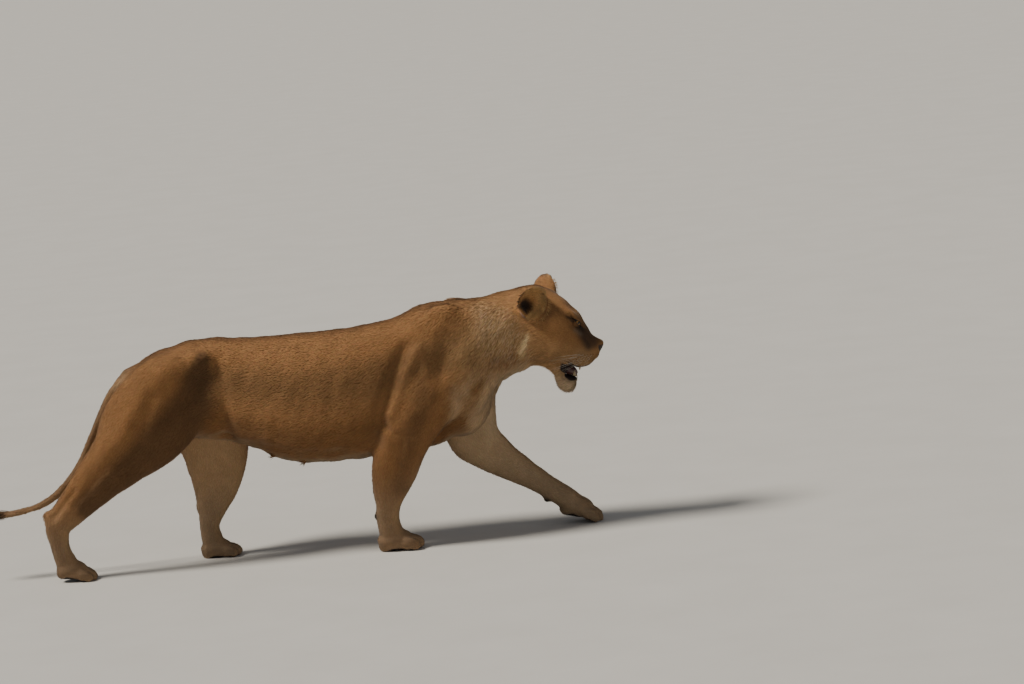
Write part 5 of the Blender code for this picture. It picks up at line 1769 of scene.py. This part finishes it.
def make_eye(name, side, material):
    """An eyeball with its cornea, looking out between the lids."""
    centre, gaze, inner, up = lid_frame(side)
    rings, spokes = 40, 64
    angles = math.pi * np.arange(1, rings) / rings
    around = 2 * math.pi * np.arange(spokes) / spokes
    reach = EYE_RADIUS * (1 + CORNEA_RISE * bell(angles, 0.0, CORNEA_WIDTH))
    ring = (gaze * (np.cos(angles) * reach)[:, None, None]
            + (inner * np.cos(around)[:, None] + up * np.sin(around)[:, None])[None]
            * (np.sin(angles) * reach)[:, None, None])
    front = centre + gaze * EYE_RADIUS * (1 + CORNEA_RISE)
    back = centre - gaze * EYE_RADIUS
    places = np.concatenate([[front], (centre + ring).reshape(-1, 3), [back]])
    faces = []
    for spoke in range(spokes):
        after = (spoke + 1) % spokes
        faces.append((0, 1 + spoke, 1 + after))
        last = 1 + (rings - 2) * spokes
        faces.append((last + spoke, len(places) - 1, last + after))
        for step in range(rings - 2):
            here = 1 + step * spokes
            faces.append((here + spoke, here + spokes + spoke, here + after))
            faces.append((here + after, here + spokes + spoke, here + spokes + after))
    faces = np.array(faces)
    if np.dot(np.cross(gaze, inner), up) < 0:
        faces = faces[:, ::-1]
    item = mesh_of(name, places, faces, "eye")
    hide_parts("eye_right" if side == RIGHT else "eye_left")
    away = unit(places - centre)
    give(item, "Ring", "FLOAT", np.arccos(np.clip(away @ gaze, -1, 1)) * EYE_RADIUS)
    give(item, "Spoke", "FLOAT", np.arctan2(away @ up, away @ inner))
    dress(item, material)


CORNEA_RISE = 0.055                       # over the ball's radius, and its half-angle
CORNEA_WIDTH = 0.42
UPPER_CANINE = (0.054, 0.027, -0.142)     # in the head's frame, left side
LOWER_CANINE = (0.043, 0.020, -0.181)
TOOTH_LENGTH = 0.018
TOOTH_RADIUS = 0.0050
TONGUE_CENTRE = (0.012, 0.0, -0.168)
TONGUE_SIZE = (0.046, 0.031, 0.020)
TONGUE_LEAN = 0.18


def tooth(bm, root, length, lean, radius):
    """A curved, pointed tooth in the head's frame, sunk into its gum."""
    rings = []
    for step in range(-2, 8):
        share = step / 7
        bend = 0.20 * length * max(share, 0.0) ** 2
        centre = Vector(root) + Vector((-bend, lean * length * share, length * share))
        size = radius * (1.0 - 0.92 * max(share, 0.0) ** 1.6) * (1 - 0.25 * max(-share, 0.0))
        ring = []
        for corner in range(14):
            angle = 2 * math.pi * corner / 14
            ring.append(head_frame() @ (centre + Vector((1.15 * size * math.cos(angle),
                                                         size * math.sin(angle), 0.0))))
        rings.append(ring)
    loft(bm, rings)


def make_teeth(material):
    """Canines and incisors of both jaws."""
    bm = bmesh.new()
    for side in SIDES:
        tooth(bm, mirrored(UPPER_CANINE, side), -TOOTH_LENGTH, -0.12 * side, TOOTH_RADIUS)
        tooth(bm, mirrored(LOWER_CANINE, side), TOOTH_LENGTH * 0.85, 0.16 * side, TOOTH_RADIUS * 0.9)
        for number in range(3):
            y = 0.004 + 0.0055 * number
            tooth(bm, mirrored((0.083 - 0.0016 * number ** 2, y, -0.128), side), -0.0065, 0.0, 0.0024)
            tooth(bm, mirrored((0.055 - 0.0014 * number ** 2, y, -0.185), side), 0.0060, 0.0, 0.0021)
    bmesh.ops.recalc_face_normals(bm, faces=bm.faces)
    bmesh.ops.triangulate(bm, faces=bm.faces)
    item = mesh_of("teeth", *arrays_of(bm), "mouth")
    dress(item, material)


def make_tongue(material):
    """The tongue, grooved down its middle, lying between the jaws."""
    place = head_frame() @ Matrix.Translation(TONGUE_CENTRE) @ Matrix.Rotation(TONGUE_LEAN, 4, "Y")
    bm = bmesh.new()
    bmesh.ops.create_icosphere(bm, subdivisions=5, radius=1.0)
    places, faces = arrays_of(bm)
    groove = 0.16 * bell(places[:, 1], 0.0, 0.16) * soft(places[:, 2], 0.1, 0.8)
    places[:, 2] -= groove
    places = moved(place, places * np.array(TONGUE_SIZE) * 0.97)
    item = mesh_of("tongue_flesh", places, faces, "mouth")
    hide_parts("tongue")
    dress(item, material)


# ---------------------------------------------------------------- materials
class Shader:
    """A material's nodes round one Principled shader."""

    def __init__(self, name, roughness, **fixed):
        self.material = bpy.data.materials.new(name)
        self.material.use_nodes = True
        self.tree = self.material.node_tree
        self.main = self.tree.nodes["Principled BSDF"]
        self.main.inputs["Roughness"].default_value = roughness
        for key, value in fixed.items():
            self.main.inputs[key.replace("_", " ")].default_value = value

    def node(self, kind, settings=None, **inputs):
        """A node with its settings, and its inputs set or linked by name."""
        made = self.tree.nodes.new(kind)
        for key, value in (settings or {}).items():
            setattr(made, key, value)
        for key, value in inputs.items():
            self.plug(made.inputs[key.replace("_", " ")], value)
        return made

    def plug(self, socket, value):
        """Link an output to a socket, or set its value."""
        if isinstance(value, bpy.types.NodeSocket):
            self.tree.links.new(value, socket)
        else:
            socket.default_value = value

    def value(self, name):
        """An attribute's number."""
        return self.node("ShaderNodeAttribute", {"attribute_name": name}).outputs["Fac"]

    def colour(self, name):
        """An attribute's colour."""
        return self.node("ShaderNodeAttribute", {"attribute_name": name}).outputs["Color"]

    def vector(self, name, scale):
        """An attribute's vector, scaled along its axes."""
        read = self.node("ShaderNodeAttribute", {"attribute_name": name}).outputs["Vector"]
        made = self.node("ShaderNodeVectorMath", {"operation": "MULTIPLY"})
        self.plug(made.inputs[0], read)
        made.inputs[1].default_value = scale
        return made.outputs["Vector"]

    def place(self):
        """Coordinates fixed to the object."""
        return self.node("ShaderNodeTexCoord").outputs["Object"]

    def noise(self, where, scale, detail=3.0, roughness=0.6):
        """Noise from 0 to 1."""
        return self.node("ShaderNodeTexNoise", None, Vector=where, Scale=scale,
                         Detail=detail, Roughness=roughness).outputs["Fac"]

    def span(self, value, low, high, start=0.0, end=1.0):
        """A value's range mapped to another."""
        made = self.node("ShaderNodeMapRange", None, Value=value)
        made.inputs["From Min"].default_value = start
        made.inputs["From Max"].default_value = end
        made.inputs["To Min"].default_value = low
        made.inputs["To Max"].default_value = high
        return made.outputs["Result"]

    def sum_of(self, one, two, operation="ADD"):
        """Two numbers worked together."""
        made = self.node("ShaderNodeMath", {"operation": operation})
        self.plug(made.inputs[0], one)
        self.plug(made.inputs[1], two)
        return made.outputs["Value"]

    def scaled(self, colour, factor):
        """A colour made lighter or darker."""
        made = self.node("ShaderNodeVectorMath", {"operation": "SCALE"})
        self.plug(made.inputs[0], colour)
        self.plug(made.inputs["Scale"], factor)
        return made.outputs["Vector"]

    def ramped(self, value, stops):
        """A colour ramp through stops of place and colour."""
        made = self.node("ShaderNodeValToRGB", None, Fac=value)
        points = made.color_ramp.elements
        points[0].position, points[0].color = stops[0][0], (*stops[0][1], 1)
        points[1].position, points[1].color = stops[-1][0], (*stops[-1][1], 1)
        for position, colour in stops[1:-1]:
            points.new(position).color = (*colour, 1)
        return made.outputs["Color"]

    def base(self, colour):
        """The main shader's colour."""
        self.plug(self.main.inputs["Base Color"], colour)

    def bump(self, height, distance, strength=1.0):
        """A bump for the main shader."""
        made = self.node("ShaderNodeBump", None, Height=height, Distance=distance, Strength=strength)
        self.plug(self.main.inputs["Normal"], made.outputs["Normal"])


def skin_material():
    """Short fur over skin, with bare leather at nose, lips, lids and pads."""
    shader = Shader("short_fur_skin", 0.85, Specular_IOR_Level=0.25)
    place = shader.place()
    streak = shader.noise(shader.vector("Lie", (70.0, 900.0, 0.0)), 1.0, 3.0)
    patch = shader.noise(place, 22.0, 4.0)
    pore = shader.noise(place, 900.0, 2.0)
    bare = shader.value("Bare")
    tone = shader.sum_of(shader.span(streak, 0.80, 1.16), shader.span(patch, 0.90, 1.10), "MULTIPLY")
    shader.base(shader.scaled(shader.colour("Paint"), tone))
    shader.plug(shader.main.inputs["Roughness"], shader.span(shader.value("Wet"), 0.86, 0.30))
    fur = shader.sum_of(streak, shader.span(bare, 1.0, 0.0), "MULTIPLY")
    leather = shader.sum_of(pore, shader.span(bare, 0.0, 0.5), "MULTIPLY")
    shader.bump(shader.sum_of(fur, leather), 0.0012, 0.8)
    return shader.material


def fur_material():
    """Tufts: coloured from root to tip, with uneven tone over the body."""
    shader = Shader("fur_tufts", 0.80, Specular_IOR_Level=0.20, Sheen_Weight=0.10, Sheen_Roughness=0.5)
    place = shader.place()
    patch = shader.noise(place, 24.0, 4.0)
    grain = shader.noise(place, 420.0, 2.0)
    tone = shader.sum_of(shader.span(patch, 0.78, 1.20), shader.span(grain, 0.88, 1.12), "MULTIPLY")
    shader.base(shader.scaled(shader.colour("Paint"), tone))
    return shader.material


def dark_hair_material():
    """Coarse dark hair with a slight gloss."""
    shader = Shader("dark_tail_hair", 0.55, Specular_IOR_Level=0.35)
    grain = shader.noise(shader.place(), 300.0, 3.0)
    shader.base(shader.scaled(shader.colour("Paint"), shader.span(grain, 0.6, 1.4)))
    return shader.material


def eye_material():
    """Amber iris darkened as painted shade, with a round pupil, a dark rim, and the white veined and dark."""
    shader = Shader("amber_eye", 0.08, Specular_IOR_Level=0.40)
    ring = shader.value("Ring")
    spoke = shader.value("Spoke")
    where = shader.node("ShaderNodeCombineXYZ", None, X=shader.sum_of(spoke, 9.0, "MULTIPLY"),
                        Y=shader.sum_of(ring, 260.0, "MULTIPLY")).outputs["Vector"]
    fibre = shader.noise(where, 1.6, 3.0)
    wobble = shader.sum_of(shader.span(fibre, -0.0005, 0.0005), ring)
    share = shader.sum_of(wobble, 0.0255, "DIVIDE")
    # The amber is painted dark, as the shade that lies over the eye.
    iris = shader.ramped(share, [
        (0.0, (0.004, 0.003, 0.003)),
        (0.150, (0.004, 0.003, 0.003)),
        (0.165, (0.100, 0.045, 0.008)),
        (0.260, (0.300, 0.150, 0.030)),
        (0.380, (0.210, 0.095, 0.018)),
        (0.450, (0.060, 0.028, 0.009)),
        (0.480, (0.012, 0.008, 0.006)),
        (0.560, (0.022, 0.014, 0.010)),
        (0.750, (0.070, 0.048, 0.034)),
    ])
    shader.base(shader.scaled(iris, shader.span(fibre, 0.70, 1.30)))
    return shader.material


def tongue_material():
    """Moist flesh, its pink darkened as painted shade inside the mouth, with small horny points."""
    shader = Shader("moist_tongue", 0.32, Specular_IOR_Level=0.5, Subsurface_Weight=0.15,
                    Subsurface_Scale=0.004)
    place = shader.place()
    points = shader.node("ShaderNodeTexVoronoi", None, Vector=place, Scale=520.0).outputs["Distance"]
    blotch = shader.noise(place, 60.0, 3.0)
    # The pink is painted dark, as shade inside the mouth.
    shader.base(shader.ramped(blotch, [(0.3, (0.042, 0.015, 0.014)), (0.7, (0.080, 0.029, 0.026))]))
    shader.bump(shader.span(points, 1.0, 0.0, 0.0, 0.6), 0.0006, 0.8)
    return shader.material


def tooth_material():
    """Ivory, in blotches of yellower and paler tone."""
    shader = Shader("ivory_tooth", 0.28, Specular_IOR_Level=0.5)
    blotch = shader.noise(shader.place(), 160.0, 3.0)
    # The ivory is painted dim, as shade inside the mouth.
    shader.base(shader.ramped(blotch, [(0.3, (0.22, 0.16, 0.085)), (0.7, (0.36, 0.285, 0.18))]))
    return shader.material


def whisker_material():
    """Stiff pale whiskers."""
    shader = Shader("pale_whisker", 0.45, Specular_IOR_Level=0.4)
    grain = shader.noise(shader.place(), 140.0, 2.0)
    shader.base(shader.ramped(grain, [(0.3, (0.55, 0.48, 0.38)), (0.7, (0.80, 0.74, 0.64))]))
    return shader.material


def floor_material():
    """A plain pale floor."""
    shader = Shader("pale_floor", 0.75, Specular_IOR_Level=0.2)
    grain = shader.noise(shader.place(), 3.0, 4.0)
    shader.base(shader.ramped(grain, [(0.3, (0.60, 0.582, 0.546)), (0.7, (0.63, 0.612, 0.576))]))
    return shader.material


# ---------------------------------------------------------------- studio
CAMERA_TARGET = Vector((0.713, 0.0, 0.688))    # in the design frame
CAMERA_DISTANCE = 12.0
CAMERA_RISE = math.radians(8.0)
CAMERA_ROLL = math.radians(5.5)                # the ground rises to the right
VIEW_WIDTH = 3.635                             # metres across the picture at the target
FILM_WIDTH = 36.0
FLOOR_RADIUS = 150.0
LAMPS = [                                      # name, way to it, strength, spread in degrees, colour
    ("key", (-0.85, -0.20, 1.0), 3.85, 16.0, (1.0, 0.94, 0.84)),
    ("fill", (0.80, -1.0, 0.55), 0.15, 60.0, (0.95, 0.97, 1.0)),
]
SKY_COLOUR = (0.86, 0.88, 0.92, 1.0)
SKY_STRENGTH = 0.19


def make_camera():
    """The camera on her right, a little above, tilted as the slope makes it."""
    data = bpy.data.cameras.new("camera")
    data.sensor_width = FILM_WIDTH
    data.lens = FILM_WIDTH * CAMERA_DISTANCE / VIEW_WIDTH
    data.clip_end = 400.0
    item = bpy.data.objects.new("camera", data)
    bpy.context.scene.collection.objects.link(item)
    ahead = Vector((0.0, math.cos(CAMERA_RISE), -math.sin(CAMERA_RISE)))
    level = Vector((1.0, 0.0, 0.0))
    upright = level.cross(ahead)
    right = level * math.cos(CAMERA_ROLL) - upright * math.sin(CAMERA_ROLL)
    up = level * math.sin(CAMERA_ROLL) + upright * math.cos(CAMERA_ROLL)
    turn = Matrix((right, up, -ahead)).transposed().to_4x4()
    eye = CAMERA_TARGET + Vector(SHIFT) - ahead * CAMERA_DISTANCE
    item.matrix_world = Matrix.Translation(eye) @ turn
    bpy.context.scene.camera = item


def make_sun(name, toward, power, angle, colour):
    """A broad soft lamp that shines from one direction."""
    data = bpy.data.lights.new(name, "SUN")
    data.energy = power
    data.angle = math.radians(angle)
    data.color = colour
    item = bpy.data.objects.new(name, data)
    bpy.context.scene.collection.objects.link(item)
    item.rotation_euler = Vector(toward).to_track_quat("Z", "Y").to_euler()


def make_studio():
    """Floor, lamps and an even sky."""
    bm = bmesh.new()
    bmesh.ops.create_circle(bm, cap_ends=True, segments=96, radius=FLOOR_RADIUS)
    mesh = bpy.data.meshes.new("floor")
    bm.to_mesh(mesh)
    bm.free()
    floor = bpy.data.objects.new("floor", mesh)
    bpy.context.scene.collection.objects.link(floor)
    mesh.materials.append(floor_material())
    for lamp in LAMPS:
        make_sun(*lamp)
    world = bpy.data.worlds.new("sky")
    bpy.context.scene.world = world
    world.use_nodes = True
    light = world.node_tree.nodes["Background"].inputs
    light["Color"].default_value = SKY_COLOUR
    light["Strength"].default_value = SKY_STRENGTH


# ---------------------------------------------------------------- the lioness
def eye_shift():
    """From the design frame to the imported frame: where the left eye ended up."""
    low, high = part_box("eye_left")
    middle = (Vector(low) + Vector(high)) / 2
    return np.array(middle - head_frame() @ Vector(EYE_CENTRE))


FLESH = ("head", "lower_jaw", "ear_right", "ear_left", "neck", "chest", "belly", "rump",
         "shoulder_right", "forearm_right", "forepaw_right", "shoulder_left", "forearm_left",
         "forepaw_left", "thigh_right", "shank_right", "hindpaw_right", "thigh_left",
         "shank_left", "hindpaw_left", "tail_base", "tail_middle", "tail_end")
FORE_OF_PAW = (0.03, 0.0, 0.0)
PAW_REACH = 0.095
TEAT_REACH = 0.024
FINE_SPOTS = [             # in the head's frame: centre, radius, how often the surface is refined
    ((-0.008, 0.042, 0.002), 0.034, 2),
    ((0.098, 0.0, -0.070), 0.036, 2),
    ((0.045, 0.0, -0.150), 0.075, 1),
]


def skin_surface():
    """The fused body with its finer parts refined."""
    places, faces = stitched(whole_body(), fine_head())
    surface = Surface(places, faces)
    away = np.abs((places - np.array(SEAM_POINT)) @ np.array(SEAM_NORMAL))
    band = soft(away, SEAM_BAND, 0.3 * SEAM_BAND) * (places[:, 2] > SEAM_FLOOR)
    surface.ease(14, band)
    places, faces = surface.places, surface.faces
    for centre, radius, times in FINE_SPOTS:
        for number in range(times):
            local = in_head(places)
            shrunk = radius * (1.0 if number == 0 else 0.8)
            gaps = [np.linalg.norm(local - mirrored(centre, side), axis=1) for side in SIDES]
            places, faces = refined(places, faces, np.minimum(*gaps) < shrunk)
    for ball, size, pitch in PAWS:
        close = np.linalg.norm(places - np.array(ball) - FORE_OF_PAW, axis=1) < PAW_REACH * size
        places, faces = refined(places, faces, close)
    for number in range(2):
        live = np.zeros(len(places), dtype=bool)
        for x, y, z in TEATS:
            gap = np.hypot(places[:, 0] - x, np.abs(places[:, 1]) - y)
            live |= (gap < TEAT_REACH) & (places[:, 2] < z + 0.03)
        places, faces = refined(places, faces, live)
    return Surface(places, faces)


def sculpt(surface):
    """Folds over the body, then the skin sunk by the coat's depth, then lids, nose, lips and toes."""
    carve_body(surface)
    lie = Lie(surface)
    paw = soft(surface.places[:, 2], 0.110, 0.060)
    depth = lie.blend(COAT_DEPTH) * (1 - paw) + PAW_DEPTH * paw
    depth = depth * (surface.places[:, 2] > 0.0008)
    surface.push(-surface.spread(depth[:, None], 8)[:, 0])
    surface.places[:, 2] = np.maximum(surface.places[:, 2], 0.0)
    shape_nose(surface)
    shape_mouth(surface)
    shape_lids(surface)
    shape_toes(surface)
    shape_teats(surface)
    surface.turn()


def make_skin(surface, marked, colours):
    """The one skin that stands for all the flesh."""
    item = mesh_of("skin", surface.places, surface.faces, "coat")
    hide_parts(*FLESH)
    give(item, "Paint", "FLOAT_COLOR", colours)
    give(item, "Bare", "FLOAT", marked.bare)
    give(item, "Wet", "FLOAT", marked.wet)
    lie = marked.lie
    across = lie.round * lie.thick
    give(item, "Lie", "FLOAT_VECTOR", np.column_stack([lie.along, across, np.zeros(len(across))]))
    dress(item, skin_material())


SHIFT = eye_shift()
make_camera()
make_studio()
surface = skin_surface()
sculpt(surface)
lie = Lie(surface)
marked = Marked(surface, lie)
colours = marked.paint()
make_skin(surface, marked, colours)
fur = fur_material()
grow_coat(surface, Coat(marked), colours, fur)
dark_hair = dark_hair_material()
make_tuft(surface, marked, dark_hair)
amber = eye_material()
make_eye("eyeball_right", RIGHT, amber)
make_eye("eyeball_left", LEFT, amber)
make_tongue(tongue_material())
make_teeth(tooth_material())
make_whiskers(whisker_material())
make_ear_hair(surface, marked, fur)
